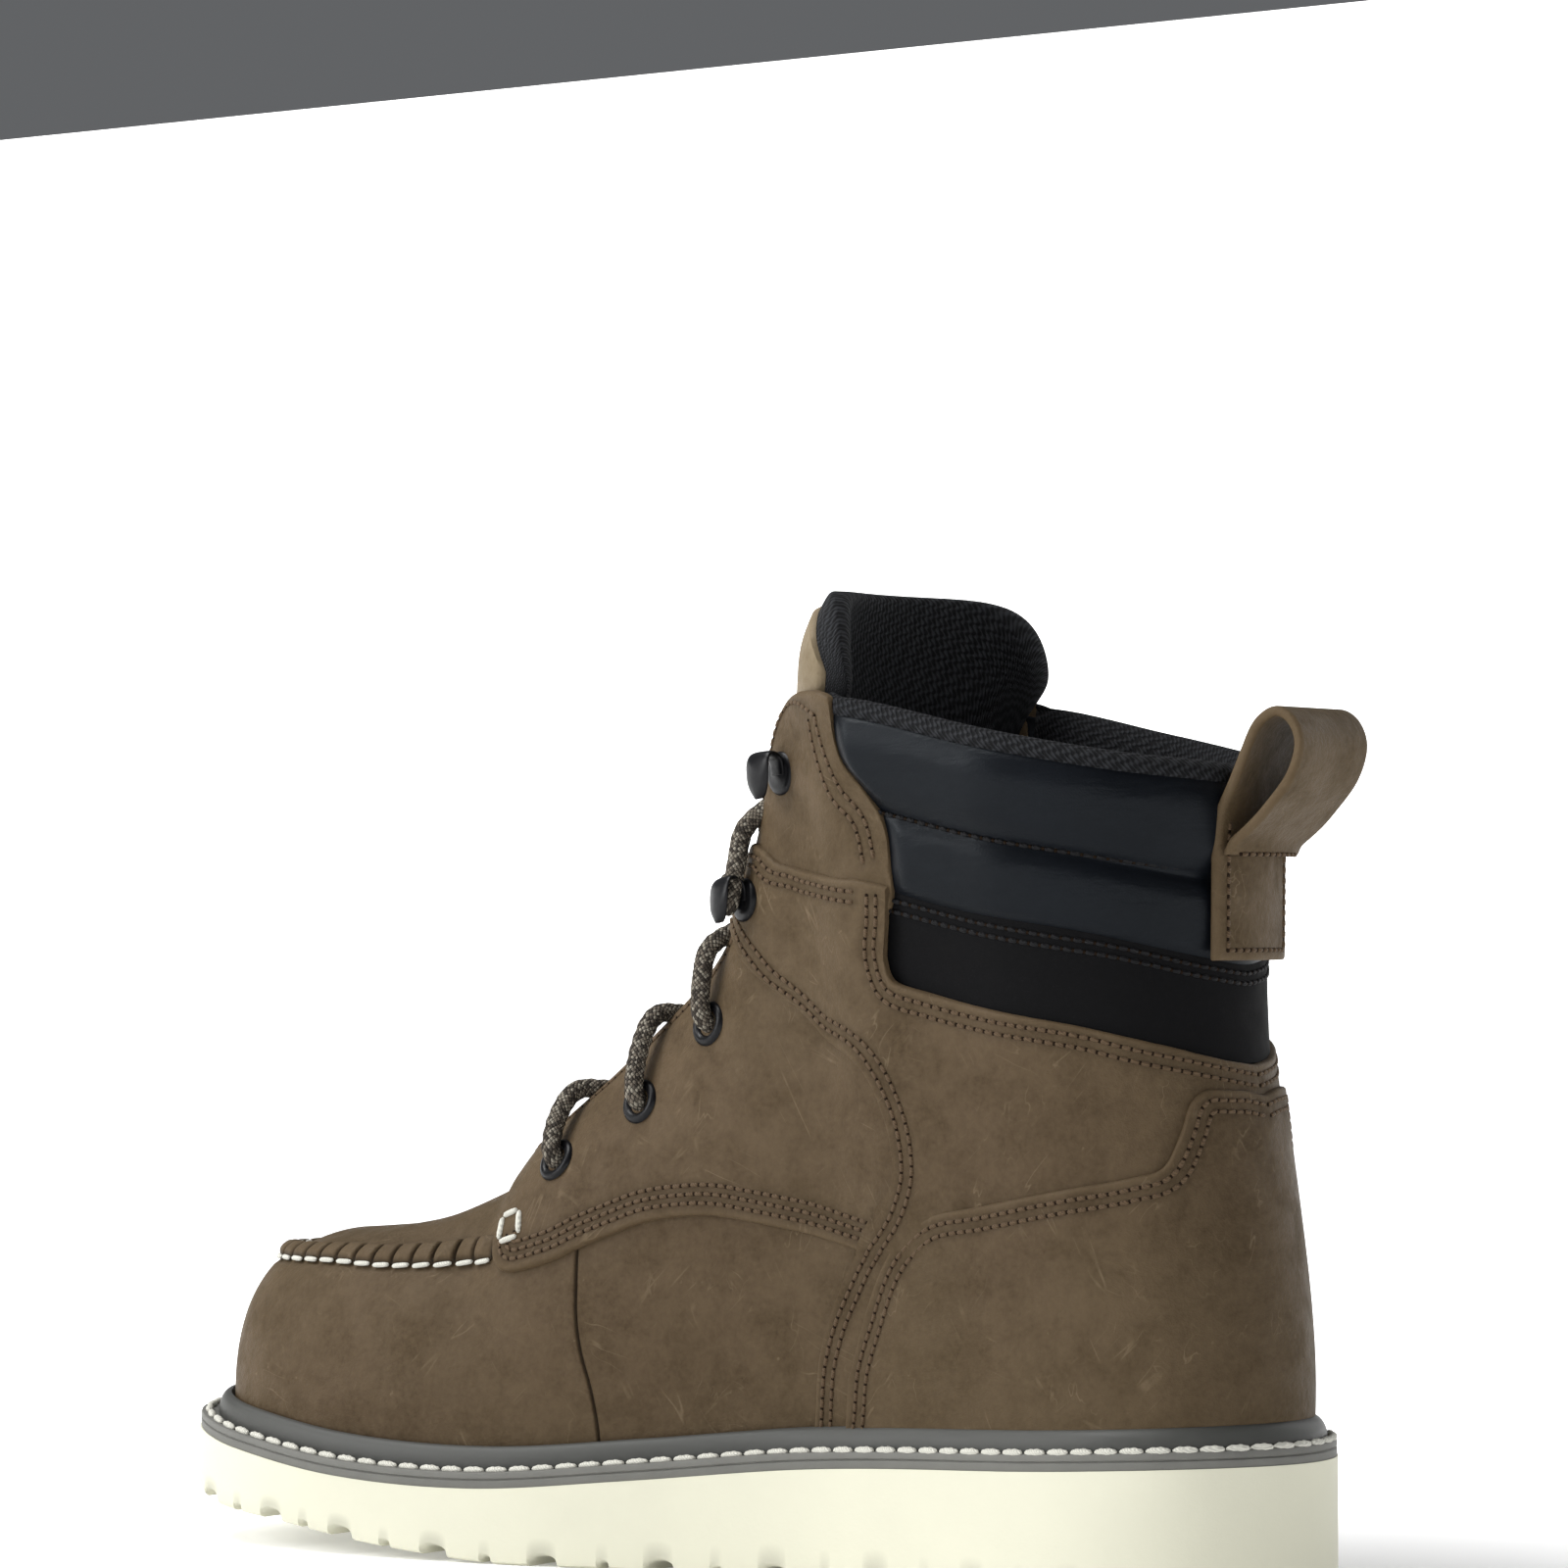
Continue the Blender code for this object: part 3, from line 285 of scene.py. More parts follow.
def plan(girth):
    """Edge of the leather at the sole, seen from above, and the way outwards, unshifted."""
    girth = np.asarray(girth, float)
    tiny = 1e-3
    x, y = looped(PLAN_X, girth), looped(PLAN_Y, girth)
    dx = looped(PLAN_X, girth + tiny) - looped(PLAN_X, girth - tiny)
    dy = looped(PLAN_Y, girth + tiny) - looped(PLAN_Y, girth - tiny)
    size = np.hypot(dx, dy)
    return x, y, dy / size, -dx / size


def sole_edge(girth, margin=SOLE_MARGIN):
    """Outline of the sole, seen from above, unshifted."""
    x, y, out_x, out_y = plan(girth)
    return x + out_x * margin, y + out_y * margin


def found_shift():
    """How far the solids moved when they were centred on their box."""
    low, high = (np.array(corner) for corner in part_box("outsole"))
    x, y = sole_edge(np.linspace(0, 2 * HEEL, 3001))
    return np.array([(low[0] + high[0] - x.min() - x.max()) / 2,
                     (low[1] + high[1] - y.min() - y.max()) / 2, 0.0])


SHIFT = found_shift()


def seat(x):
    """Height of the sole's top face."""
    return HEEL_STACK * smooth(SEAT, x / SOLE_LENGTH)


def underside(x):
    """Height of the tread's face above the floor."""
    return TOE_SPRING * np.maximum(smooth(SPRING, x / SOLE_LENGTH, clamp=True), 0.0)


def skin(girth, up):
    """Outer face of the leather: one Bezier rib from the sole to the top edge at each girth."""
    girth, up = np.broadcast_arrays(np.mod(np.asarray(girth, float), 2 * HEEL), np.asarray(up, float))
    row = np.where(girth <= HEEL, girth, 2 * HEEL - girth)
    rib = smooth(RIB_ROWS, row)
    top_y = smooth(TOP_Y, girth, clamp=True)
    ridge = -TOE_TURN * BALL_WIDTH * np.clip(1 - row / 6, 0, 1)
    x, y, out_x, out_y = plan(girth)
    foot = np.stack([x, y, seat(x) + GAP], -1)
    outwards = np.stack([out_x, out_y, 0 * out_x], -1)
    upwards = np.array([0.0, 0.0, 1.0])
    low = foot + outwards * rib[..., 3:4] * SOLE_LENGTH + upwards * rib[..., 4:5] * BOOT_HEIGHT
    top = np.stack([rib[..., 5] * SOLE_LENGTH, ridge + top_y, rib[..., 7] * BOOT_HEIGHT], -1)
    high = top + outwards * rib[..., 8:9] * BALL_WIDTH - upwards * rib[..., 9:10] * BOOT_HEIGHT
    t = up[..., None]
    bezier = foot * (1 - t)**3 + 3 * low * t * (1 - t)**2 + 3 * high * t**2 * (1 - t) + top * t**3
    return bezier + SHIFT


def slopes(girth, up):
    """Changes of the skin with girth and with up."""
    tiny = 1e-3
    girth, up = np.broadcast_arrays(np.asarray(girth, float), np.asarray(up, float))
    along = (skin(girth + tiny, up) - skin(girth - tiny, up)) / (2 * tiny)
    high, low = np.minimum(up + tiny, np.maximum(1, up)), np.maximum(up - tiny, 0)
    climb = (skin(girth, high) - skin(girth, low)) / (high - low)[..., None]
    return along, climb


def outward(girth, up):
    """Unit normal of the skin, away from the foot."""
    normal = np.cross(*slopes(girth, up))
    return normal / np.linalg.norm(normal, axis=-1, keepdims=True)


def raised(girth, up, lift):
    """Point that stands off the skin by lift."""
    lift = np.broadcast_to(np.asarray(lift, float), np.broadcast(girth, up).shape)
    return skin(girth, up) + outward(girth, up) * lift[..., None]


def step(value):
    """Smooth step from 0 at 0 to 1 at 1."""
    t = np.clip(value, 0, 1)
    return t * t * (3 - 2 * t)


def row_of(girth):
    """Rib row of a girth on either side."""
    girth = np.mod(girth, 2 * HEEL)
    return np.minimum(girth, 2 * HEEL - girth)


def mirrored(table):
    """The same rungs or path on the outer side, in order of rising girth."""
    flipped = np.array(table)[::-1].copy()
    flipped[:, 0::2] = 2 * HEEL - flipped[:, 0::2]
    return flipped


def curve_through(points, spacing):
    """Points about spacing apart along a smooth curve through girth and up pairs."""
    points = np.asarray(points, float)
    span = np.diff(points, axis=0) * np.array([0.022, 0.12])
    place = np.concatenate([[0], np.cumsum(np.hypot(*span.T))])
    count = max(int(place[-1] / spacing), 8)
    return smooth(np.column_stack([place, points]), np.linspace(0, place[-1], count), clamp=True)


def beside(path, distance):
    """Path on the skin moved sideways by distance, to the left of its way, seen from outside."""
    girth, up = path[:, 0], path[:, 1]
    point = skin(girth, up)
    way = np.gradient(point, axis=0)
    way /= np.linalg.norm(way, axis=1, keepdims=True)
    left = np.cross(outward(girth, up), way) * distance
    along, climb = slopes(girth, up)
    a, b, c = (along**2).sum(1), (along * climb).sum(1), (climb**2).sum(1)
    p, q = (along * left).sum(1), (climb * left).sum(1)
    size = a * c - b * b
    return np.column_stack([girth + (p * c - q * b) / size, up + (q * a - p * b) / size])


def run_of(points):
    """Length run from the first point of a line to each point."""
    return np.concatenate([[0], np.cumsum(np.linalg.norm(np.diff(points, axis=0), axis=1))])


def even(points, pitch, start=0.5):
    """Places at an even pitch along a line of points, with the way at each."""
    length = run_of(points[:, :3])
    count = max(int(round(length[-1] / pitch)), 1)
    at = (np.arange(count) + start) * length[-1] / count
    line = np.stack([np.interp(at, length, points[:, k]) for k in range(points.shape[1])], -1)
    way = (np.gradient(line, axis=0) if count > 1 else points[-1:] - points[:1])[:, :3]
    return line, way / np.linalg.norm(way, axis=1, keepdims=True), length[-1] / count


# Meshes

def grid_faces(rows, columns, wrap=False):
    """Quads of a grid of points; wrap joins the last row to the first."""
    i = np.arange(rows if wrap else rows - 1)[:, None]
    j = np.arange(columns - 1)[None, :]
    a, b = i * columns + j, (i + 1) % rows * columns + j
    return np.stack([a, b, b + 1, a + 1], -1).reshape(-1, 4)


def shell_faces(rows, columns, wrap=False):
    """Quads of a closed sheet: an outer grid, an inner grid and the rims between them."""
    top = grid_faces(rows, columns, wrap)
    count = rows * columns
    i = np.arange(rows if wrap else rows - 1)
    edges = [(i * columns, (i + 1) % rows * columns, False),
             (i * columns + columns - 1, (i + 1) % rows * columns + columns - 1, True)]
    if not wrap:
        j = np.arange(columns - 1)
        edges += [(j, j + 1, True), ((rows - 1) * columns + j, (rows - 1) * columns + j + 1, False)]
    parts = [top, top[:, ::-1] + count]
    for a, b, flip in edges:
        rim = np.stack([a, a + count, b + count, b], -1)
        parts.append(rim[:, ::-1] if flip else rim)
    return np.concatenate(parts)


def tube_faces(rows, around, wrap=False):
    """Quads round a tube and, where it is open, its two end faces."""
    i = np.arange(rows if wrap else rows - 1)[:, None]
    j = np.arange(around)[None, :]
    k, m = (j + 1) % around, (i + 1) % rows
    quads = np.stack([i * around + j, i * around + k, m * around + k, m * around + j], -1).reshape(-1, 4)
    if wrap:
        return quads.tolist()
    ends = [list(range(around))[::-1], [(rows - 1) * around + n for n in range(around)]]
    return quads.tolist() + ends


def add_piece(name, points, faces, finish, slot, replaces=(), uv=None, marks=None, angle=None, merge=0.0):
    """Adds one piece that rides on the boot, with uv and marks given for each point."""
    mesh = bpy.data.meshes.new(name)
    points = np.asarray(points, float).reshape(-1, 3)
    faces = faces.tolist() if isinstance(faces, np.ndarray) else faces
    mesh.from_pydata(points.tolist(), [], faces)
    if uv is not None:
        corner = np.empty(len(mesh.loops), int)
        mesh.loops.foreach_get("vertex_index", corner)
        layer = mesh.uv_layers.new(name="UVMap")
        layer.data.foreach_set("uv", np.asarray(uv, float).reshape(-1, 2)[corner].ravel())
    for mark, values in (marks or {}).items():
        layer = mesh.attributes.new(mark, "FLOAT", "POINT")
        layer.data.foreach_set("value", np.asarray(values, np.float32).ravel())
    mesh.polygons.foreach_set("use_smooth", np.ones(len(mesh.polygons), bool))
    mesh.materials.append(finish)
    if angle is not None:
        mesh.set_sharp_from_angle(angle=np.radians(angle))
    mesh.update()
    piece = bpy.data.objects.new(name, mesh)
    bpy.context.scene.collection.objects.link(piece)
    if merge:
        weld = piece.modifiers.new("weld", "WELD")
        weld.merge_threshold = merge
    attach(piece, "root")
    if replaces:
        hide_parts(*replaces)
    return piece


def add_sheet(name, outer, inner, finish, slot, replaces=(), uv=None, marks=None, faces=None,
              angle=None, merge=0.0):
    """Closed sheet between two grids of points; uv and marks are those of one grid, for both."""
    points = np.concatenate([outer.reshape(-1, 3), inner.reshape(-1, 3)])
    faces = shell_faces(*outer.shape[:2]) if faces is None else faces
    uv = None if uv is None else np.concatenate([uv, uv])
    marks = {mark: np.concatenate([values.ravel()] * 2) for mark, values in (marks or {}).items()}
    return add_piece(name, points, faces, finish, slot, replaces, uv, marks, angle, merge)


def join_meshes(parts):
    """Points and faces of several meshes as one."""
    points, faces, start = [], [], 0
    for some_points, some_faces in parts:
        some_points = np.asarray(some_points, float).reshape(-1, 3)
        points.append(some_points)
        faces += [[start + n for n in face] for face in some_faces]
        start += len(some_points)
    return np.concatenate(points), faces


def shell_normals(grid, wrap=False):
    """Unit normals of a grid of points, rows crossed with columns."""
    if wrap:
        along = np.roll(grid, -1, 0) - np.roll(grid, 1, 0)
    else:
        along = np.gradient(grid, axis=0)
    normal = np.cross(along, np.gradient(grid, axis=1))
    return normal / np.maximum(np.linalg.norm(normal, axis=-1, keepdims=True), 1e-12)


def edge_distance(grid):
    """Least distance of each grid point to the sheet's border, measured along the grid lines."""
    def from_start(axis):
        length = np.linalg.norm(np.diff(grid, axis=axis), axis=-1)
        total = np.cumsum(length, axis=axis)
        zero = np.zeros_like(np.take(total, [0], axis=axis))
        return np.concatenate([zero, total], axis=axis)

    rows, columns = from_start(0), from_start(1)
    return np.minimum.reduce([rows, rows[-1:] - rows, columns, columns[:, -1:] - columns])


def distance_to(points, line):
    """Least distance of each point to a dense line of points."""
    flat = points.reshape(-1, 3)
    best = np.full(len(flat), 1.0)
    for start in range(0, len(flat), 4000):
        part = flat[start:start + 4000]
        gap = part[:, None, :] - line[None, :, :]
        best[start:start + 4000] = np.sqrt((gap**2).sum(-1).min(1))
    return best.reshape(points.shape[:-1])


# Materials

def new_material(name):
    made = bpy.data.materials.new(name)
    made.use_nodes = True
    return made, made.node_tree, made.node_tree.nodes["Principled BSDF"]


def add_node(tree, kind, values=(), links=(), **settings):
    """Node with its settings, socket values and incoming links given in one line."""
    made = tree.nodes.new(kind)
    for key, value in settings.items():
        setattr(made, key, value)
    for key, value in dict(values).items():
        made.inputs[key].default_value = value
    for key, source in dict(links).items():
        tree.links.new(source, made.inputs[key])
    return made


def place(tree, scale=(1, 1, 1), turn=(0, 0, 0), output="Object"):
    """Coordinates of the piece, scaled and turned."""
    source = add_node(tree, "ShaderNodeTexCoord").outputs[output]
    mapped = add_node(tree, "ShaderNodeMapping", {"Scale": scale, "Rotation": turn}, {"Vector": source})
    return mapped.outputs["Vector"]


def noise(tree, vector, scale, detail=3.0, rough=0.5, distort=0.0):
    """Cloudy noise of a scale in cells to the metre."""
    made = add_node(tree, "ShaderNodeTexNoise",
                    {"Scale": scale, "Detail": detail, "Roughness": rough, "Distortion": distort},
                    {"Vector": vector})
    return made.outputs["Fac"]


def ramp(tree, source, low, high):
    """Straight ramp of a value from 0 at low to 1 at high."""
    made = add_node(tree, "ShaderNodeMapRange", {"From Min": low, "From Max": high}, {"Value": source})
    return made.outputs["Result"]


def math(tree, operation, first, second):
    """Result of a sum on two values, each a socket or a number."""
    made = add_node(tree, "ShaderNodeMath", operation=operation)
    for number, value in enumerate((first, second)):
        if isinstance(value, (int, float)):
            made.inputs[number].default_value = value
        else:
            tree.links.new(value, made.inputs[number])
    return made.outputs["Value"]


def blend(tree, share, first, second, kind="MIX"):
    """Mix of two colours, each a socket or an RGB triple, by a share."""
    made = add_node(tree, "ShaderNodeMix", data_type="RGBA", blend_type=kind)
    for number, value in ((0, share), (6, first), (7, second)):
        if isinstance(value, (int, float)):
            made.inputs[number].default_value = value
        elif isinstance(value, tuple):
            made.inputs[number].default_value = (*value, 1.0)
        else:
            tree.links.new(value, made.inputs[number])
    return made.outputs[2]


def mark(tree, name):
    """Value that a piece keeps at each point under this name."""
    return add_node(tree, "ShaderNodeAttribute", attribute_name=name).outputs["Fac"]


def bumps(tree, shader, layers):
    """Chain of bumps into the shader: each layer is height, depth in metres and strength."""
    last = None
    for height, depth, strength in layers:
        made = add_node(tree, "ShaderNodeBump", {"Distance": depth, "Strength": strength}, {"Height": height})
        if last:
            tree.links.new(last, made.inputs["Normal"])
        last = made.outputs["Normal"]
    tree.links.new(last, shader.inputs["Normal"])


def oiled_nubuck(name, mid, light, dark, pale):
    """Oiled nubuck: cloudy pull-up colour, pale scratches, rubbed edges, a fine nap and painted shade from
    the shade mark.
    """
    made, tree, shader = new_material(name)
    here = place(tree)
    cloud = ramp(tree, noise(tree, here, 15, 5, 0.6, 0.4), 0.34, 0.70)
    smear = ramp(tree, noise(tree, here, 85, 5, 0.65, 0.3), 0.42, 0.72)
    warm = ramp(tree, noise(tree, here, 13, 3, 0.5), 0.38, 0.62)
    nap = noise(tree, here, 1500, 3, 0.6)
    pores = noise(tree, here, 620, 4, 0.7)
    color = blend(tree, cloud, mid, light)
    color = blend(tree, math(tree, "MULTIPLY", smear, 0.62), color, dark)
    greener = (mid[0] * 0.93, mid[1] * 1.02, mid[2] * 0.94)
    color = blend(tree, math(tree, "MULTIPLY", warm, 0.45), color, greener)
    speck = ramp(tree, pores, 0.30, 0.72)
    color = blend(tree, math(tree, "MULTIPLY", speck, 0.55), color, light)
    scratches = None
    for turn, scale, where in (((0.0, 0.50, 0.3), (170, 170, 5), 62), ((0.2, -0.75, 0.4), (210, 210, 7), 75),
                               ((0.1, 1.20, 0.2), (190, 190, 6), 68), ((0.3, -0.20, 0.7), (230, 230, 8), 80)):
        turned = place(tree, (1, 1, 1), turn)
        combed = add_node(tree, "ShaderNodeMapping", {"Scale": scale}, {"Vector": turned}).outputs["Vector"]
        field = noise(tree, combed, 1.0, 2, 0.45)
        lines = ramp(tree, math(tree, "ABSOLUTE", math(tree, "SUBTRACT", field, 0.5), 0), 0.0130, 0.0)
        patch = ramp(tree, noise(tree, place(tree, (1, 1, 1), turn), where, 2, 0.5), 0.60, 0.70)
        layer = math(tree, "MULTIPLY", lines, patch)
        scratches = layer if scratches is None else math(tree, "MAXIMUM", scratches, layer)
    color = blend(tree, math(tree, "MULTIPLY", scratches, 0.30), color, pale)
    flecks = ramp(tree, noise(tree, here, 330, 2, 0.5), 0.74, 0.82)
    color = blend(tree, math(tree, "MULTIPLY", flecks, 0.3), color, pale)
    color = blend(tree, math(tree, "MULTIPLY", mark(tree, "wear"), 0.75), color, light)
    # Painted shade: the shade mark darkens the leather in stitch troughs, the seam crease, under the moc bead
    # and in its slits.
    color = blend(tree, mark(tree, "shade"), color, (dark[0] * 0.22, dark[1] * 0.2, dark[2] * 0.2))
    tree.links.new(color, shader.inputs["Base Color"])
    rough = ramp(tree, smear, -1.2, 2.4)
    tree.links.new(math(tree, "ADD", rough, 0.22), shader.inputs["Roughness"])
    shader.inputs["Specular IOR Level"].default_value = 0.13
    bumps(tree, shader, [(noise(tree, here, 70, 3, 0.5), 0.0010, 0.35), (pores, 0.00040, 0.80),
                         (nap, 0.00015, 0.5), (scratches, 0.00012, 0.4)])
    return made


def smooth_leather(name, color, roughness):
    """Soft smooth leather with a fine grain and slack wrinkles."""
    made, tree, shader = new_material(name)
    here = place(tree)
    soft = noise(tree, here, 55, 3, 0.5)
    grain = add_node(tree, "ShaderNodeTexVoronoi", {"Scale": 1500.0, "Randomness": 1.0}, {"Vector": here},
                     feature="DISTANCE_TO_EDGE").outputs["Distance"]
    shade = tuple(0.6 * part for part in color)
    tree.links.new(blend(tree, soft, shade, tuple(1.3 * part for part in color)), shader.inputs["Base Color"])
    tree.links.new(math(tree, "ADD", math(tree, "MULTIPLY", soft, 0.18), roughness - 0.09),
                   shader.inputs["Roughness"])
    shader.inputs["Specular IOR Level"].default_value = 0.11
    shader.inputs["Specular Tint"].default_value = (0.88, 0.95, 1.0, 1.0)
    wrinkles = noise(tree, place(tree, (60, 60, 260)), 1.0, 3, 0.55, 0.4)
    bumps(tree, shader, [(wrinkles, 0.0009, 0.35), (grain, 0.00012, 0.45)])
    return made


def knit(name, color, size, lift):
    """Spacer mesh in metres of uv: rows of small loops, with painted shade darkening the openings between
    them.
    """
    made, tree, shader = new_material(name)
    split = add_node(tree, "ShaderNodeSeparateXYZ", (), {"Vector": place(tree, (1, 1, 1), (0, 0, 0), "UV")})
    u, v = split.outputs["X"], split.outputs["Y"]
    across = math(tree, "MULTIPLY", u, 2 * np.pi / size)
    along = math(tree, "MULTIPLY", v, 2 * np.pi / size * 0.8)
    wave = math(tree, "MULTIPLY", math(tree, "SINE", along, 0), 0.9)
    zigzag = math(tree, "SINE", math(tree, "ADD", across, wave), 0)
    bars = math(tree, "SINE", math(tree, "ADD", along, math(tree, "MULTIPLY", across, 0.5)), 0)
    loops = ramp(tree, math(tree, "MULTIPLY", zigzag, bars), -0.5, 0.7)
    fuzz = noise(tree, place(tree), 2600, 2, 0.6)
    # Painted shade: the openings between the loops are darkened.
    hole_shade = tuple(0.22 * part for part in color)
    tree.links.new(blend(tree, loops, hole_shade, color), shader.inputs["Base Color"])
    shader.inputs["Roughness"].default_value = 0.8
    shader.inputs["Specular IOR Level"].default_value = 0.12
    bumps(tree, shader, [(loops, lift, 0.8), (fuzz, 0.0001, 0.4)])
    return made


def braid(name, dark, mid, light):
    """Round braid: uv holds turns round the cord and metres along it."""
    made, tree, shader = new_material(name)
    split = add_node(tree, "ShaderNodeSeparateXYZ", (), {"Vector": place(tree, (1, 1, 1), (0, 0, 0), "UV")})
    turn = math(tree, "MULTIPLY", split.outputs["X"], 12.0)
    run = math(tree, "MULTIPLY", split.outputs["Y"], 880.0)
    one = math(tree, "FRACT", math(tree, "ADD", turn, run), 0)
    two = math(tree, "FRACT", math(tree, "SUBTRACT", turn, run), 0)
    cell_one = math(tree, "FLOOR", math(tree, "ADD", turn, run), 0)
    cell_two = math(tree, "FLOOR", math(tree, "SUBTRACT", turn, run), 0)
    ridge_one = math(tree, "SINE", math(tree, "MULTIPLY", one, np.pi), 0)
    ridge_two = math(tree, "SINE", math(tree, "MULTIPLY", two, np.pi), 0)
    ridges = math(tree, "MULTIPLY", ridge_one, ridge_two)
    cells = add_node(tree, "ShaderNodeCombineXYZ", (), {"X": cell_one, "Y": cell_two})
    toss = add_node(tree, "ShaderNodeTexWhiteNoise", (), {"Vector": cells.outputs["Vector"]},
                    noise_dimensions="2D").outputs["Value"]
    color = blend(tree, ramp(tree, toss, 0.30, 0.40), dark, mid)
    color = blend(tree, ramp(tree, toss, 0.68, 0.74), color, light)
    # Painted shade in the grooves between the strands.
    color = blend(tree, ramp(tree, ridges, 0.35, 0.0), color, tuple(0.3 * part for part in dark))
    tree.links.new(color, shader.inputs["Base Color"])
    shader.inputs["Roughness"].default_value = 0.85
    shader.inputs["Specular IOR Level"].default_value = 0.15
    bumps(tree, shader, [(ridges, 0.0006, 0.8), (noise(tree, place(tree), 3000, 2, 0.6), 0.0001, 0.4)])
    return made


def plain_finish(name, color, roughness, spread=0.12, scale=60, bump=0.0002, fine=900, shine=0.3):
    """Moulded or painted surface with slight cloudiness and a fine texture."""
    made, tree, shader = new_material(name)
    here = place(tree)
    cloud = ramp(tree, noise(tree, here, scale, 4, 0.55), 0.3, 0.7)
    low = tuple((1 - spread) * part for part in color)
    shaded = blend(tree, cloud, low, color)
    # Painted shade: the shade mark darkens the surface, as in the sole's tread grooves.
    shaded = blend(tree, mark(tree, "shade"), shaded, tuple(0.35 * part for part in color))
    tree.links.new(shaded, shader.inputs["Base Color"])
    tree.links.new(math(tree, "ADD", math(tree, "MULTIPLY", cloud, 0.12), roughness - 0.06),
                   shader.inputs["Roughness"])
    shader.inputs["Specular IOR Level"].default_value = shine
    bumps(tree, shader, [(noise(tree, here, fine, 3, 0.6), bump, 0.4),
                         (noise(tree, here, 45, 2), 0.0006, 0.15)])
    return made


def twisted_thread(name, color):
    """Waxed thread with a fine twist."""
    made, tree, shader = new_material(name)
    here = place(tree, (1, 1, 1), (0.6, 0.5, 0.8))
    twist = add_node(tree, "ShaderNodeTexWave", {"Scale": 700.0, "Distortion": 1.5, "Detail": 2.0},
                     {"Vector": here}).outputs["Fac"]
    # Painted shade: the twist's grooves are darker.
    low = tuple(0.72 * part for part in color)
    tree.links.new(blend(tree, twist, low, color), shader.inputs["Base Color"])
    shader.inputs["Roughness"].default_value = 0.7
    shader.inputs["Specular IOR Level"].default_value = 0.2
    bumps(tree, shader, [(twist, 0.0002, 0.6)])
    return made


# Photograph's camera, soft studio light and pale floor

def build_studio():
    """Camera of the photograph, three soft lamps, and a pale floor whose far part and walls glow."""
    data = bpy.data.cameras.new("camera")
    data.lens = CAMERA_LENS
    data.sensor_width = 36.0
    data.clip_end = 40.0
    camera = bpy.data.objects.new("camera", data)
    turn, pitch = np.radians(CAMERA_TURN), np.radians(CAMERA_PITCH)
    way = Vector((-np.sin(turn) * np.cos(pitch), np.cos(turn) * np.cos(pitch), np.sin(pitch)))
    camera.location = Vector(CAMERA_PLACE) + Vector(SHIFT)
    camera.rotation_euler = way.to_track_quat("-Z", "Y").to_euler()
    bpy.context.scene.collection.objects.link(camera)
    bpy.context.scene.camera = camera

    world = bpy.data.worlds.new("studio")
    world.use_nodes = True
    sky = world.node_tree.nodes["Background"]
    sky.inputs["Color"].default_value = (0.93, 0.96, 1.0, 1.0)
    sky.inputs["Strength"].default_value = 0.13
    bpy.context.scene.world = world

    for name, place_at, aim, power, size in (
            ("overhead softbox", (-0.55, -0.35, 1.45), (-0.05, 0.0, 0.1), 21.0, (1.0, 0.7)),
            ("front softbox", (-1.05, -1.20, 0.90), (-0.05, 0.0, 0.1), 18.0, (0.9, 0.8)),
            ("back softbox", (0.50, 1.40, 0.95), (0.05, 0.0, 0.15), 6.0, (0.9, 0.9))):
        light = bpy.data.lights.new(name, "AREA")
        light.shape = "RECTANGLE"
        light.size, light.size_y = size
        light.energy = power
        lamp = bpy.data.objects.new(name, light)
        lamp.location = place_at
        lamp.rotation_euler = (Vector(aim) - Vector(place_at)).to_track_quat("-Z", "Y").to_euler()
        bpy.context.scene.collection.objects.link(lamp)

    made, tree, shader = new_material("floor paper")
    paper = noise(tree, place(tree), 6, 3)
    tree.links.new(blend(tree, paper, (0.88, 0.88, 0.875), (0.91, 0.91, 0.905)), shader.inputs["Base Color"])
    shader.inputs["Roughness"].default_value = 1.0
    shader.inputs["Specular IOR Level"].default_value = 0.0
    away = add_node(tree, "ShaderNodeVectorMath", (), {0: place(tree)}, operation="LENGTH").outputs["Value"]
    glow = math(tree, "MULTIPLY", ramp(tree, away, -0.10, 0.85), 1.05)
    tree.links.new(glow, shader.inputs["Emission Strength"])
    shader.inputs["Emission Color"].default_value = (1.0, 1.0, 1.0, 1.0)
    mesh = bpy.data.meshes.new("floor")
    reach = FLOOR_REACH
    corners = [(-reach, -reach), (reach, -reach), (reach, reach), (-reach, reach)]
    mesh.from_pydata([(x, y, z) for z in (0, WALL_RISE) for x, y in corners], [],
                     [(0, 1, 2, 3)] + [(n, n + 4, (n + 1) % 4 + 4, (n + 1) % 4) for n in range(4)])
    mesh.materials.append(made)
    floor = bpy.data.objects.new("floor", mesh)
    bpy.context.scene.collection.objects.link(floor)
    bpy.context.scene.view_settings.view_transform = "Standard"


# Stitches

def capsule(length, radius, around=6):
    """Rounded stick along x: rings whose radius grows and shrinks."""
    rings = np.array([(-0.5, 0.35), (-0.40, 0.85), (-0.2, 1.0), (0.2, 1.0), (0.40, 0.85), (0.5, 0.35)])
    turn = np.linspace(0, 2 * np.pi, around, endpoint=False)
    circle = np.stack([0 * turn, np.cos(turn), np.sin(turn)], -1)
    points = circle[None] * rings[:, 1, None, None] * radius
    points[..., 0] = rings[:, 0, None] * length
    return points.reshape(-1, 3), tube_faces(len(rings), around)


def spindle(length, radius, around=9, rings=13):
    """Fat stitch along x that thins towards its ends, with the strands of the thread as a twist."""
    along = np.linspace(-1, 1, rings)
    turn = np.linspace(0, 2 * np.pi, around, endpoint=False)
    size = radius * (0.25 + 0.75 * np.sqrt(np.clip(1 - along**2, 0, 1)))
    strands = 1 + 0.10 * np.cos(3 * turn[None, :] + along[:, None] * 9)
    points = np.stack([np.broadcast_to(along[:, None] * length / 2, strands.shape),
                       size[:, None] * strands * np.cos(turn), size[:, None] * strands * np.sin(turn)], -1)
    return points.reshape(-1, 3), tube_faces(rings, around)


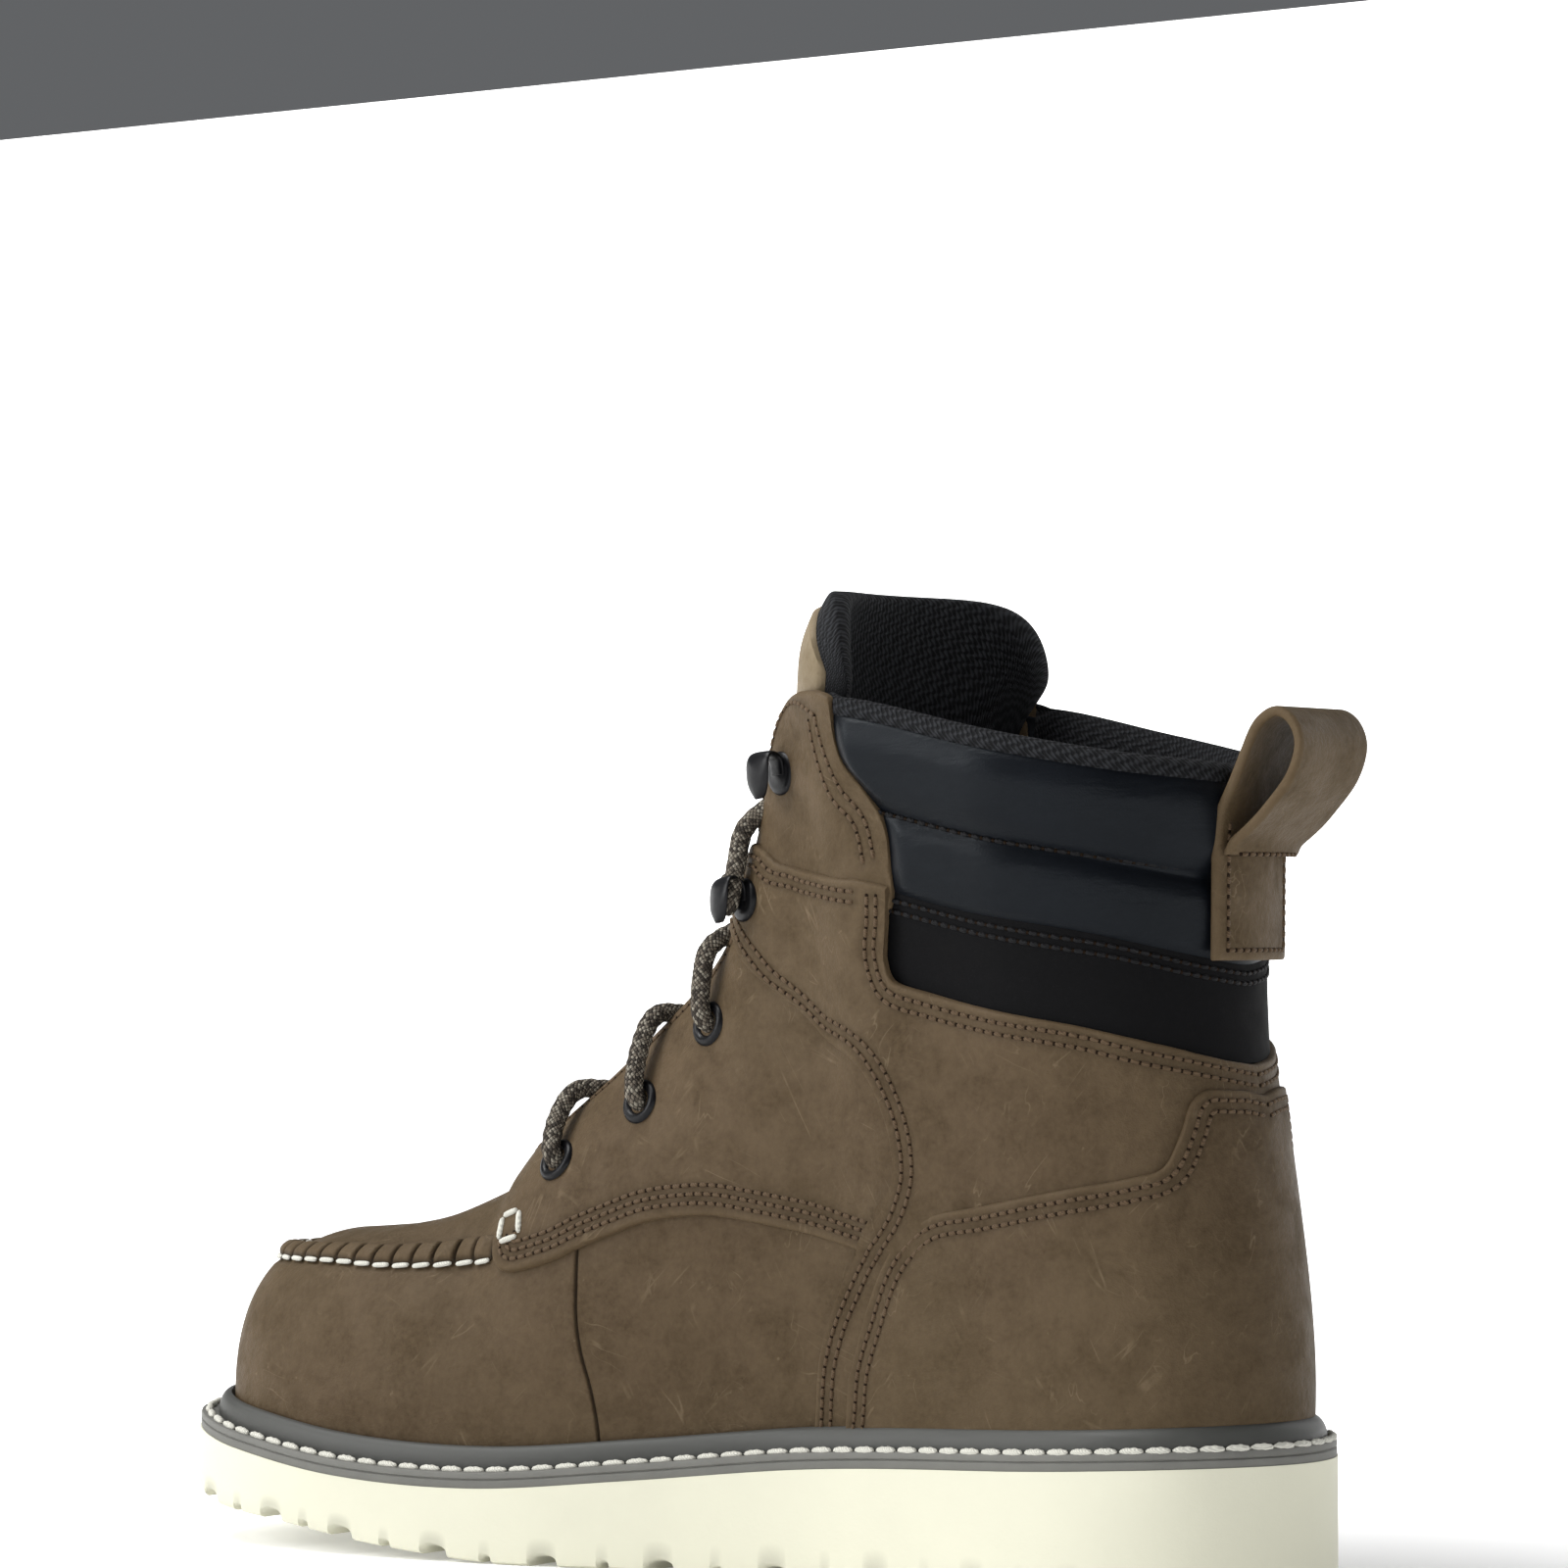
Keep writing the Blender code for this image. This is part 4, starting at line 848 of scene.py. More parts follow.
def scattered(template, faces, centres, ways, normals):
    """Copies of a small mesh, one at each centre, its x along the way and its z along the normal."""
    sides = np.cross(normals, ways)
    sides /= np.linalg.norm(sides, axis=1, keepdims=True)
    tops = np.cross(ways, sides)
    axes = np.stack([ways, sides, tops], 1)
    points = centres[:, None, :] + np.einsum("pk,nkj->npj", template, axes)
    count = len(template)
    all_faces = []
    for number in range(len(centres)):
        all_faces += [[number * count + n for n in face] for face in faces]
    return points.reshape(-1, 3), all_faces


def stitch_row(path, lift, pitch, length, radius, flat=0.8):
    """Thread along a path on the skin, and the places between stitches of the dark discs that paint the shade
    where the needle went through.
    """
    line = raised(path[:, 0], path[:, 1], lift)
    both = np.column_stack([line, path])
    centres, ways, real = even(both, pitch)
    normals = outward(centres[:, 3], centres[:, 4])
    template, faces = capsule(length, radius)
    template = template * np.array([1.0, 1.0, flat])
    thread = scattered(template, faces, centres[:, :3], ways, normals)
    hole_shades, hole_ways, _ = even(both, real, 0.0)
    hole_normals = outward(hole_shades[:, 3], hole_shades[:, 4])
    # Dark disc at each needle hole: painted shade.
    disc, disc_faces = capsule(HOLE_LENGTH, HOLE_RADIUS, 4)
    disc = disc * np.array([1.0, 1.0, 0.55])
    return thread, scattered(disc, disc_faces, hole_shades[:, :3], hole_ways, hole_normals)


# Pieces

def panel(name, rungs, base, thickness, finish, replaces=(), troughs=(), both=False):
    """Leather panel over the skin, from rungs between its two edges.

    Girth and up are cubic along the rungs and straight across them. The outer face stands off by
    base plus thickness, falls in a quarter circle at the border and sinks along the troughs, each
    a line of points, a depth and a width. The inner face lies at base.
    """
    rungs = np.concatenate([rungs, mirrored(rungs)[1:]]) if both else rungs
    along = np.linspace(0, len(rungs) - 1, (len(rungs) - 1) * 6 + 1)
    edge = smooth(np.column_stack([np.arange(len(rungs)), rungs]), along, clamp=True)
    climb = np.concatenate([[0, 0.003, 0.008, 0.016, 0.03], np.linspace(0.05, 0.95, 54),
                            [0.97, 0.984, 0.992, 0.997, 1]])
    girth = edge[:, 0:1] * (1 - climb) + edge[:, 2:3] * climb
    up = edge[:, 1:2] * (1 - climb) + edge[:, 3:4] * climb
    ground = base(girth, up) if callable(base) else np.full(girth.shape, float(base))
    flat = skin(girth, up)
    rim = edge_distance(flat)
    fall = np.sqrt(np.clip(1 - (1 - np.clip(rim / 0.0009, 0, 1))**2, 0, 1))
    lift = ground + thickness * fall
    shade = np.zeros_like(lift)
    for line, depth, width in troughs:
        near = np.exp(-(distance_to(flat, line) / width)**2)
        lift = lift - 0.55 * depth * near
        # Painted shade along the stitch troughs, where the leather sinks.
        shade = np.maximum(shade, 0.22 * near)
    wear = np.clip(1 - rim / 0.0022, 0, 1) * 0.8
    outer, inner = raised(girth, up, lift), raised(girth, up, ground - 0.0001)
    add_sheet(name, outer, inner, finish, "brown_leather", replaces,
              marks={"shade": shade, "wear": wear}, angle=60)


def facing_edge(girth):
    """Lower edge of the facing, as up."""
    return smooth(SCALLOP, np.clip(row_of(girth), SCALLOP[0, 0], SCALLOP[-1, 0]))


def quarter_base(girth, up):
    """Lift of the quarter's underside: over the facing in front, on the lining behind."""
    on_facing = step((up - facing_edge(girth) + 0.01) / 0.03)
    return 0.0001 + (FACING_LEATHER - 0.0002) * on_facing * step((11.9 - row_of(girth)) / 0.9)


def dense(path, count=400):
    """Dense points on the skin along a girth and up path."""
    place_at = np.linspace(0, len(path) - 1, count)
    return skin(np.interp(place_at, np.arange(len(path)), path[:, 0]),
                np.interp(place_at, np.arange(len(path)), path[:, 1]))


def on_both_sides(*paths):
    """Each path, and after it the same path on the outer side."""
    return [turned for path in paths for turned in (path, mirrored(path))]


def turn_side(table, side):
    """Path or rungs on the inner side, where side is -1, or on the outer side."""
    return table if side < 0 else mirrored(table)


def sunk(paths, depth):
    """Troughs of a panel along its stitch rows."""
    return [(dense(path), depth, TROUGH_WIDTH) for path in paths]


def rows_beside(path, *distances):
    """Stitch rows at distances beside an edge."""
    return [beside(path, distance) for distance in distances]


def build_vamp(finish):
    """Vamp and apron in one shell: the skin outside, the same less the wall inside."""
    seam = 6.72
    steps = np.array([0.006, 0.012, 0.02, 0.03, 0.05, 0.09])
    close = seam + np.concatenate([-steps[::-1], [0], steps])
    coarse = np.arange(0, HEEL, 0.075)
    half = np.concatenate([coarse[np.abs(coarse - seam) > 0.1], close, [HEEL]])
    half.sort()
    girths = np.concatenate([half, 2 * HEEL - half[-2:0:-1]])
    row = row_of(girths)
    end = np.where(row > 10.6, smooth(COLLAR_CUT, np.clip(row, 0, HEEL), clamp=True), 1.0)
    climb = np.linspace(0, 1, 60)
    up = climb[None, :] * end[:, None]
    slant = smooth(VAMP_SEAM[::-1, ::-1], np.clip(up, 0.05, 0.475), clamp=True) - seam
    side = np.where(girths > HEEL, -1, 1)[:, None]
    girth = girths[:, None] + side * slant * step(1 - np.abs(row[:, None] - seam) / 0.9)
    past = (row[:, None] - seam) * 0.023
    near = np.exp(-(past / 0.00030)**2)
    lap = np.where(past < 0, 1 - step(-past / 0.004), 0) * 0.00035
    under_bead = smooth(MOC_SEAM, np.clip(row, 0, 8))[:, None]
    toe = np.clip((5.8 - row) / 0.3, 0, 1)[:, None]
    pinch = np.exp(-((up - under_bead + 0.012) / 0.014)**2) * toe
    ripple = 0.5 + 0.5 * np.cos(2 * np.pi * bead_turns(girth))
    sunken = step((up - under_bead - 0.075) / 0.05) * step((5.4 - row[:, None]) / 2.5)
    lift = lap - 0.0006 * near - 0.0006 * pinch * (0.6 + 0.4 * ripple) - 0.0013 * sunken
    for line, depth, width in VAMP_CREASES:
        lift = lift + depth * np.exp(-(distance_to(skin(girth, up), dense(np.array(line))) / width)**2)
    # Painted shade in the seam's crease and in the pinch under the moc bead.
    shade = np.clip(0.7 * near + 0.25 * pinch, 0, 1)
    normal = outward(girth, np.minimum(up, 0.985))
    ridge_share = (step((up - 0.86) / 0.06) * (row[:, None] <= THROAT))[..., None]
    normal = normal + ridge_share * (np.array([0.0, 0.0, 1.0]) - normal)
    normal /= np.linalg.norm(normal, axis=-1, keepdims=True)
    flat = skin(girth, up)
    outer, inner = flat + normal * lift[..., None], flat - normal * WALL
    faces = shell_faces(*up.shape, wrap=True)
    rows, columns = up.shape
    last = faces % (rows * columns) % columns == columns - 1
    ridge = last.all(1) & (row[(faces % (rows * columns) // columns)].max(1) <= THROAT)
    add_sheet("vamp", outer, inner, finish, "brown_leather", ["upper"],
              marks={"shade": shade, "wear": np.zeros(shade.shape)}, faces=faces[~ridge], merge=WELD)


def bead_line():
    """Length along the moc seam as a table of girth, from the inner end round the toe."""
    girth = np.linspace(-MOC_END, MOC_END, 1200)
    up = smooth(MOC_SEAM, np.abs(girth)) + 0.5 * MOC_BEAD_SPAN
    point = skin(girth, up)
    return girth, run_of(point)


BEAD_GIRTH, BEAD_LENGTH = bead_line()
BEAD_STITCHES = int(round(BEAD_LENGTH[-1] / MOC_PITCH))


def bead_turns(girth):
    """Number of stitches passed along the moc seam at a girth."""
    signed = np.where(np.mod(girth, 2 * HEEL) > HEEL, np.mod(girth, 2 * HEEL) - 2 * HEEL,
                      np.mod(girth, 2 * HEEL))
    return np.interp(signed, BEAD_GIRTH, BEAD_LENGTH) / BEAD_LENGTH[-1] * BEAD_STITCHES


def build_moc_bead(finish):
    """Raised seam round the toe: a half round ridge, pinched by a slit at each stitch."""
    count = BEAD_STITCHES * 16 + 1
    turns = np.linspace(0, BEAD_STITCHES, count)
    girths = np.interp(turns, BEAD_LENGTH / BEAD_LENGTH[-1] * BEAD_STITCHES, BEAD_GIRTH)
    across = np.linspace(0, 1, 16)
    seam = smooth(MOC_SEAM, np.abs(girths))[:, None]
    lean = 0.018 * (across - 0.5)[None, :] * np.sign(girths)[:, None] * np.clip(np.abs(girths)[:, None], 0, 1)
    girth = girths[:, None] + lean
    up = seam + MOC_BEAD_SPAN * across[None, :]
    away = np.abs(np.mod(turns + 0.5, 1) - 0.5)[:, None]
    half_round = np.clip(1 - np.abs(2 * across[None, :] - 1)**2.6, 0, 1)**0.5
    slit = np.exp(-(away / 0.072)**2)
    puff = np.sin(np.pi * np.mod(turns, 1))[:, None]**0.5
    ends = step((BEAD_STITCHES / 2 - np.abs(turns - BEAD_STITCHES / 2)) / 0.5)[:, None]
    lift = (MOC_BEAD * (0.80 + 0.20 * puff) * half_round - 0.0015 * slit * half_round) * (0.3 + 0.7 * ends)
    lower = np.clip(1 - across[None, :] / 0.16, 0, 1)
    upper_side = np.clip((across[None, :] - 0.86) / 0.14, 0, 1)
    # Painted shade in each slit and along the bead's lower and upper edges.
    shade = np.clip(1.2 * slit * half_round**0.5 + 0.6 * lower + 0.45 * upper_side, 0, 0.95)
    wear = 0.35 * puff * half_round
    outer, inner = raised(girth, up, lift + 0.0001), raised(girth, up, -0.0003)
    add_sheet("moc_bead", outer, inner, finish, "brown_leather", marks={"shade": shade, "wear": wear})


def build_moc_thread(finish):
    """White thread under the bead, one long stitch between slits, and its turns inside the toe."""
    middles = np.arange(BEAD_STITCHES) + 0.5
    girth = np.interp(middles, BEAD_LENGTH / BEAD_LENGTH[-1] * BEAD_STITCHES, BEAD_GIRTH)
    template, faces = capsule(0.0050, 0.00072)
    template = template * np.array([1, 1, 0.85])
    parts = []
    for level, lift, keep in ((-0.006, 0.0005, slice(None)),
                              (MOC_BEAD_SPAN + 0.003, 0.0001, np.abs(girth) < 1.3)):
        up = smooth(MOC_SEAM, np.abs(girth)) + level
        centre = raised(girth, up, lift)
        way = skin(girth + 0.02, up) - skin(girth - 0.02, up)
        way /= np.linalg.norm(way, axis=1, keepdims=True)
        shape = template if level < 0 else template * np.array([0.55, 0.7, 0.7])
        parts.append(scattered(shape, faces, centre[keep], way[keep], outward(girth, up)[keep]))
    points, all_faces = join_meshes(parts)
    add_piece("moc_thread", points, all_faces, finish, "laces")


def stitch_pieces(name, rows, finish, hole_shade_finish, lift, pitch=PITCH, length=STITCH, radius=THREAD):
    """Thread of several rows, and dark discs of painted shade where the needle went through, as two pieces.
    Each row is a path and its lift.
    """
    threads, hole_shades = [], []
    for path in rows:
        some_lift = lift(path) if callable(lift) else lift
        thread, hole_shade = stitch_row(path, some_lift, pitch, length, radius)
        threads.append(thread)
        hole_shades.append(hole_shade)
    add_piece(name, *join_meshes(threads), finish, "brown_leather")
    add_piece(name + "_holes", *join_meshes(hole_shades), hole_shade_finish, "brown_leather")


def collar_grid(profile, low, high, count=49):
    """Collar sheet: girth from one front end round the heel to the other, by climb and lift.

    Its ends are tucked under the edge of the leather in front, where the lift grows from nothing.
    """
    half = np.linspace(0, 1, 121)**1.25
    climb = np.linspace(0, 1, count)
    lift = smooth(profile, climb, clamp=True) * MILLIMETRE
    rows = np.concatenate([half, 2 - half[-2::-1]])
    side = np.minimum(rows, 2 - rows)
    at = side * (HEEL - 11.0) + 11.0
    up = low(at)[:, None] * (1 - climb) + high(at)[:, None] * climb
    edge = smooth(WINDOW_FRONT, up[:1], clamp=True)
    girth = edge - 0.25 + (HEEL - edge + 0.25) * side[:, None]
    grow = step((girth - edge + 0.08) / 0.24)
    girth = np.where(rows[:, None] > 1, 2 * HEEL - girth, girth)
    return girth, up, 0.0002 + lift[None, :] * grow, rows


def build_collar(black, matte, mesh_cloth, thread, hole_shades):
    """Padded collar: a flat matte band, two stitched rolls and a mesh lining over the top edge."""
    def band_low(row):
        return np.full_like(row, 0.60)

    def band_high(row):
        return smooth([(10.7, 0.775), (11.3, 0.765), (12.75, 0.765), (14.1, 0.748), (15, 0.742)], row)

    def top_edge(row):
        return np.full_like(row, 0.989)

    def rolls_low(row):
        return band_high(row) - 0.006

    for name, profile, low, high, finish in (
            ("collar_band", COLLAR_BAND, band_low, band_high, matte),
            ("collar_rolls", COLLAR_ROLLS, rolls_low, top_edge, black)):
        girth, up, lift, rows = collar_grid(profile, low, high)
        slack = np.sin(rows[:, None] * 13 + 2 * np.sin(rows[:, None] * 5)) * step((lift - 0.001) / 0.002)
        lift = lift + 0.00012 * slack
        outer, inner = raised(girth, up, lift), raised(girth, up, -0.0008)
        piece = add_sheet(name, outer, inner, finish, "black_leather", ["collar"])

    half = np.linspace(0, 1, 111)
    side = np.concatenate([half, 2 - half[-2::-1]])
    line = np.linspace(0, len(COLLAR_LINING) - 1, 76)
    profile = smooth(np.column_stack([np.arange(len(COLLAR_LINING)), COLLAR_LINING]), line)
    reach = np.minimum(side, 2 - side)[:, None]
    girth = 10.80 + (HEEL - 10.80) * reach
    girth = np.where(side[:, None] > 1, 2 * HEEL - girth, girth) + 0 * line[None, :]
    up = np.broadcast_to(profile[:, 0], girth.shape)
    thin = 0.35 + 0.65 * np.sqrt(np.clip(reach / 0.12, 0, 1))
    lift = profile[:, 1][None, :] * MILLIMETRE
    proud = lift * step((row_of(girth) - 10.82) / 0.2)
    lift = np.where(lift < -0.0025, lift * thin, np.where(lift > 0, proud, lift))
    outer = raised(girth, up, lift)
    inner = outer - shell_normals(outer) * 0.0007
    across, along = run_of(outer[110]), run_of(outer[:, 12])
    uv = np.stack(np.broadcast_arrays(along[:, None], across[None, :]), -1).reshape(-1, 2)
    piece = add_sheet("collar_lining", outer, inner, mesh_cloth, "black_leather", uv=uv)

    rows = [curve_through(points, PATH_SPACING) for points in (
        [(11.0, 0.752), (12, 0.750), (12.75, 0.750), (14.1, 0.733), (15, 0.727)],
        [(11.0, 0.738), (12, 0.736), (12.75, 0.736), (14.1, 0.719), (15, 0.713)])]
    stitch_pieces("band_stitches", on_both_sides(*rows), thread, hole_shades, 0.0010, 0.0026)
    groove = curve_through([(11.1, 0.862), (12.05, 0.862), (12.8, 0.864), (14.1, 0.862), (15, 0.860)],
                           PATH_SPACING)
    stitch_pieces("roll_stitches", on_both_sides(groove), thread, hole_shades, 0.0011, 0.003, 0.0022)


def tongue_face(girth, across, depth=0.0):
    """Point on the tongue's front face, or depth behind it; across runs from -1 to 1."""
    girth, across = np.broadcast_arrays(np.asarray(girth, float), np.asarray(across, float))
    row = smooth(TONGUE, girth)
    x, z = row[..., 0] * SOLE_LENGTH, row[..., 1] * BOOT_HEIGHT
    half, deep = row[..., 2] * BALL_WIDTH - depth, row[..., 3] * SOLE_LENGTH - depth
    tilt = np.radians(row[..., 4])
    turn = across * np.pi / 2
    back = deep * (1 - np.cos(turn)) + depth
    over = np.clip((girth - 10) / 2, 0, 1)
    skew = TONGUE_SKEW * SOLE_LENGTH * across * over
    corner = TONGUE_CORNER * BOOT_HEIGHT * np.abs(across)**5 * over
    spot = np.stack([x + back * np.cos(tilt) + skew, half * np.sin(turn),
                     z - back * np.sin(tilt) - corner], -1)
    return spot + SHIFT


def tongue_top(across):
    """Girth of the tongue's rounded top edge."""
    return 12.0 - 2.1 * (1 - np.sqrt(np.clip(1 - np.abs(across)**3.6, 0, 1)))


def build_tongue(tan, mesh_cloth):
    """Padded mesh tongue with a leather front that stops short of its rolled edge."""
    rise = np.sin(np.linspace(0, 1, 150) * np.pi / 2)[:, None]
    rise = 0.5 * rise + 0.5 * np.linspace(0, 1, 150)[:, None]
    across = np.sin(np.linspace(-1, 1, 100) * np.pi / 2)[None, :]
    girth = 5.0 + (tongue_top(across) - 5.0) * rise
    padded = step((girth - 8.0) / 2.5)
    below = np.clip((tongue_top(across) - girth) / 0.40, 0, 1)
    body = np.sqrt(np.clip(1 - np.abs(across)**8, 0, 1)) * np.sqrt(1 - (1 - below)**2)
    quilt = 1 - 0.10 * np.exp(-((girth - 10.6) / 0.25)**2) * padded
    thick = (0.0022 + 0.0040 * padded * quilt) * (0.06 + 0.94 * body)
    swell = 0.0018 * padded * body * (0.55 + 0.45 * np.abs(across)**2)
    front = tongue_face(girth, across, -swell)
    behind = tongue_face(girth, across, thick)
    along, wide = run_of(front[:, 45]), run_of(behind[90])
    uv = np.stack(np.broadcast_arrays(wide[None, :], along[:, None]), -1).reshape(-1, 2)
    piece = add_sheet("tongue_padding", behind, front, mesh_cloth, "tan_leather", ["tongue"], uv=uv)

    side = np.linspace(-0.86, 0.86, 70)[None, :]
    span = 5.02 + (tongue_top(side * 1.08) - 0.36 - 5.02) * np.linspace(0, 1, 130)[:, None]
    side = side * (1 - 0.06 * step((span - 10.2) / 1.2))
    swell = 0.0014 * step((span - 8.0) / 2.5)
    flat = tongue_face(span, side, -swell)
    rim = edge_distance(flat)
    fall = np.sqrt(np.clip(1 - (1 - np.clip(rim / 0.0008, 0, 1))**2, 0, 1))
    outer = tongue_face(span, side, -swell - 0.0012 * fall)
    inner = tongue_face(span, side, 0.0004 - swell)
    wear = np.clip(1 - rim / 0.003, 0, 1) * 0.6
    add_sheet("tongue_front", outer, inner, tan, "tan_leather",
              marks={"shade": np.zeros(rim.shape), "wear": wear},
              faces=shell_faces(*rim.shape)[:, ::-1], angle=60)


def loop_centre(place_at):
    """Centre line of the pull loop's strap at places along LOOP_PATH."""
    base = raised(HEEL, LOOP_START, 0.0043)
    lean = skin(HEEL, 0.9) - skin(HEEL, LOOP_START)
    lean = lean / np.linalg.norm(lean)
    path = smooth(np.column_stack([np.arange(len(LOOP_PATH)), LOOP_PATH]), place_at) * LOOP_RISE
    return base + np.stack([path[:, 0] + lean[0] * path[:, 1], 0 * place_at, path[:, 1]], -1)


def loop_sheet(place_at, width, lift):
    """Points on the strap: place along it, width across it and lift off its centre line."""
    centre = loop_centre(place_at)
    way = np.gradient(centre, axis=0)
    way /= np.linalg.norm(way, axis=1, keepdims=True)
    normal = np.stack([way[:, 2], 0 * place_at, -way[:, 0]], -1)
    curled = 1 - step((place_at - 2) / 3) * (1 - step((place_at - 11.5) / 2.5))
    drop = curled[:, None] * width[None, :]**2 / (2 * 0.45 * BALL_WIDTH)
    middle = centre[:, None, :] - drop[..., None] * np.array([1.0, 0.0, 0.0])
    middle = middle + width[None, :, None] * np.array([0.0, 1.0, 0.0])
    return middle + normal[:, None, :] * lift[..., None]


def build_pull_loop(finish, thread, hole_shades):
    """Leather strap sewn on the back of the collar and turned over into a loop."""
    place_at = np.linspace(0, len(LOOP_PATH) - 1, 190)
    width = np.sin(np.linspace(-1, 1, 41) * np.pi / 2) * STRAP_WIDTH / 2
    zero = np.zeros((len(place_at), len(width)))
    rim = edge_distance(loop_sheet(place_at, width, zero))
    fall = np.sqrt(np.clip(1 - (1 - np.clip(rim / 0.0011, 0, 1))**2, 0, 1))
    half = STRAP / 2 * (0.15 + 0.85 * fall)
    outer, inner = loop_sheet(place_at, width, half), loop_sheet(place_at, width, -half)
    wear = np.clip(1 - rim / 0.002, 0, 1)
    add_sheet("pull_loop_strap", outer, inner, finish, "brown_leather", ["pull_loop"],
              marks={"shade": np.zeros(rim.shape), "wear": wear},
              faces=shell_faces(*rim.shape)[:, ::-1], angle=60)

    threads, needle = [], []
    inset = STRAP_WIDTH / 2 - 0.003
    template, faces = capsule(0.0017, THREAD)
    # Dark discs at the needle holes: painted shade.
    disc, disc_faces = capsule(0.0011, 0.00048)
    disc = disc * np.array([1.0, 1.0, 0.35])
    for kind, level in (("side", inset), ("side", -inset), ("bar", 0.35), ("bar", 13.75)):
        if kind == "side":
            at = np.linspace(0.35, 2.75, 80)
            line = loop_sheet(at, np.array([level]), np.full((80, 1), STRAP / 2))[:, 0]
        else:
            wide = np.linspace(-inset, inset, 60)
            at = np.array([level - 0.01, level, level + 0.01])
            turned = STRAP / 2 if level < 3 else -STRAP / 2
            line = loop_sheet(at, wide, np.full((3, 60), turned))[1]
        centres, ways, real = even(line, PITCH)
        normals = np.tile([1.0, 0.0, 0.0], (len(centres), 1)) + centres * np.array([0, 12.0, 0])
        threads.append(scattered(template, faces, centres, ways, normals))
        spots, spot_ways, _ = even(line, real, 0.0)
        needle.append(scattered(disc, disc_faces, spots, spot_ways, normals))
    add_piece("loop_stitches", *join_meshes(threads), thread, "brown_leather")
    add_piece("loop_stitches_hole_shades", *join_meshes(needle), hole_shades, "brown_leather")


def side_girth(girth, side):
    """Girth on the inner side, where side is -1, or the same place on the outer side."""
    return girth if side < 0 else 2 * HEEL - girth


def local_axes(girth, up):
    """Normal of the skin, the way up along it and the way sideways, at one point."""
    normal = outward(girth, up)
    rise = skin(girth, 1.0) - skin(girth, up)
    rise = rise - normal * np.dot(rise, normal)
    rise /= np.linalg.norm(rise)
    return normal, rise, np.cross(normal, rise)


def build_eyelet(name, girth, up, finish, replaces):
    """Painted metal ring rolled over into its bore, closed by a dark disc deep inside that stands in for the
    shade there: painted shade.
    """
    normal, rise, aside = local_axes(girth, up)
    centre = raised(girth, up, FACING_LEATHER - 0.0001)
    bore, rim = EYELET_BORE, EYELET_RADIUS
    # The outline starts at the closed bottom: a dark disc of painted shade deep in the bore.
    outline = np.array([(0.0, -0.0016), (bore * 0.92, -0.0016), (bore, -0.0006), (bore * 1.06, 0.0003),
                        (bore * 1.25, 0.00085), (rim * 0.72, 0.0011), (rim * 0.88, 0.00095),
                        (rim * 0.97, 0.0005), (rim, 0.0)])
    turn = np.linspace(0, 2 * np.pi, 40, endpoint=False)
    arm = np.cos(turn)[:, None] * aside + np.sin(turn)[:, None] * rise
    points = centre + arm[:, None, :] * outline[None, :, 0:1] + normal * outline[None, :, 1:2]
    add_piece(name, points, grid_faces(*points.shape[:2], wrap=True)[:, ::-1], finish, "enamel", [replaces],
              merge=WELD)


def build_hook(name, girth, up, finish, replaces):
    """Speed hook: round riveted base, a bent neck and a shield shaped head that points down."""
    normal, rise, aside = local_axes(girth, up)
    base_lift = QUARTER_LEATHER + FACING_LEATHER if row_of(girth) < 9.2 else FACING_LEATHER
    centre = raised(girth, up, base_lift)
    turn = np.linspace(0, 2 * np.pi, 36, endpoint=False)
    arm = np.cos(turn)[:, None] * aside + np.sin(turn)[:, None] * rise
    dome = np.array([(0.0, 0.0015), (0.0012, 0.0014), (0.0020, 0.0011), (0.0036, 0.0010),
                     (0.0047, 0.0008), (0.0052, 0.0003), (0.0052, -0.0006)])
    base = centre + arm[:, None, :] * dome[None, :, 0:1] + normal * dome[None, :, 1:2]
    path = np.array([(-0.0005, 0.0010), (0.0017, 0.0011), (0.0034, 0.0018), (0.0044, 0.0032),
                     (0.0045, 0.0048), (0.0040, 0.0060), (0.0024, 0.0066), (-0.0004, 0.0067),
                     (-0.0030, 0.0065), (-0.0050, 0.0061), (-0.0060, 0.0059)])
    wide = np.array([0.0026, 0.0026, 0.0028, 0.0033, 0.0040, 0.0043, 0.0046, 0.0045, 0.0039, 0.0025, 0.0010])
    at = np.linspace(0, len(path) - 1, 44)
    line = smooth(np.column_stack([np.arange(len(path)), path, wide]), at)
    way = np.gradient(line[:, :2], axis=0)
    way /= np.linalg.norm(way, axis=1, keepdims=True)
    off = np.stack([-way[:, 1], way[:, 0]], -1)
    ring = np.linspace(0, 2 * np.pi, 20, endpoint=False)
    across = np.sign(np.cos(ring)) * np.abs(np.cos(ring))**0.6
    thick = np.sin(ring) * 0.00065
    crown = -0.0009 * (1 - across**2) * step((at[:, None] - 5) / 3)
    a = line[:, 0:1] + off[:, 0:1] * (thick + crown)
    b = line[:, 1:2] + off[:, 1:2] * (thick + crown)
    w = line[:, 2:3] * across
    head = centre + a[..., None] * rise + b[..., None] * normal + w[..., None] * aside
    parts = [(base, grid_faces(*base.shape[:2], wrap=True)[:, ::-1].tolist()),
             (head, tube_faces(*head.shape[:2]))]
    add_piece(name, *join_meshes(parts), finish, "enamel", [replaces], merge=WELD)


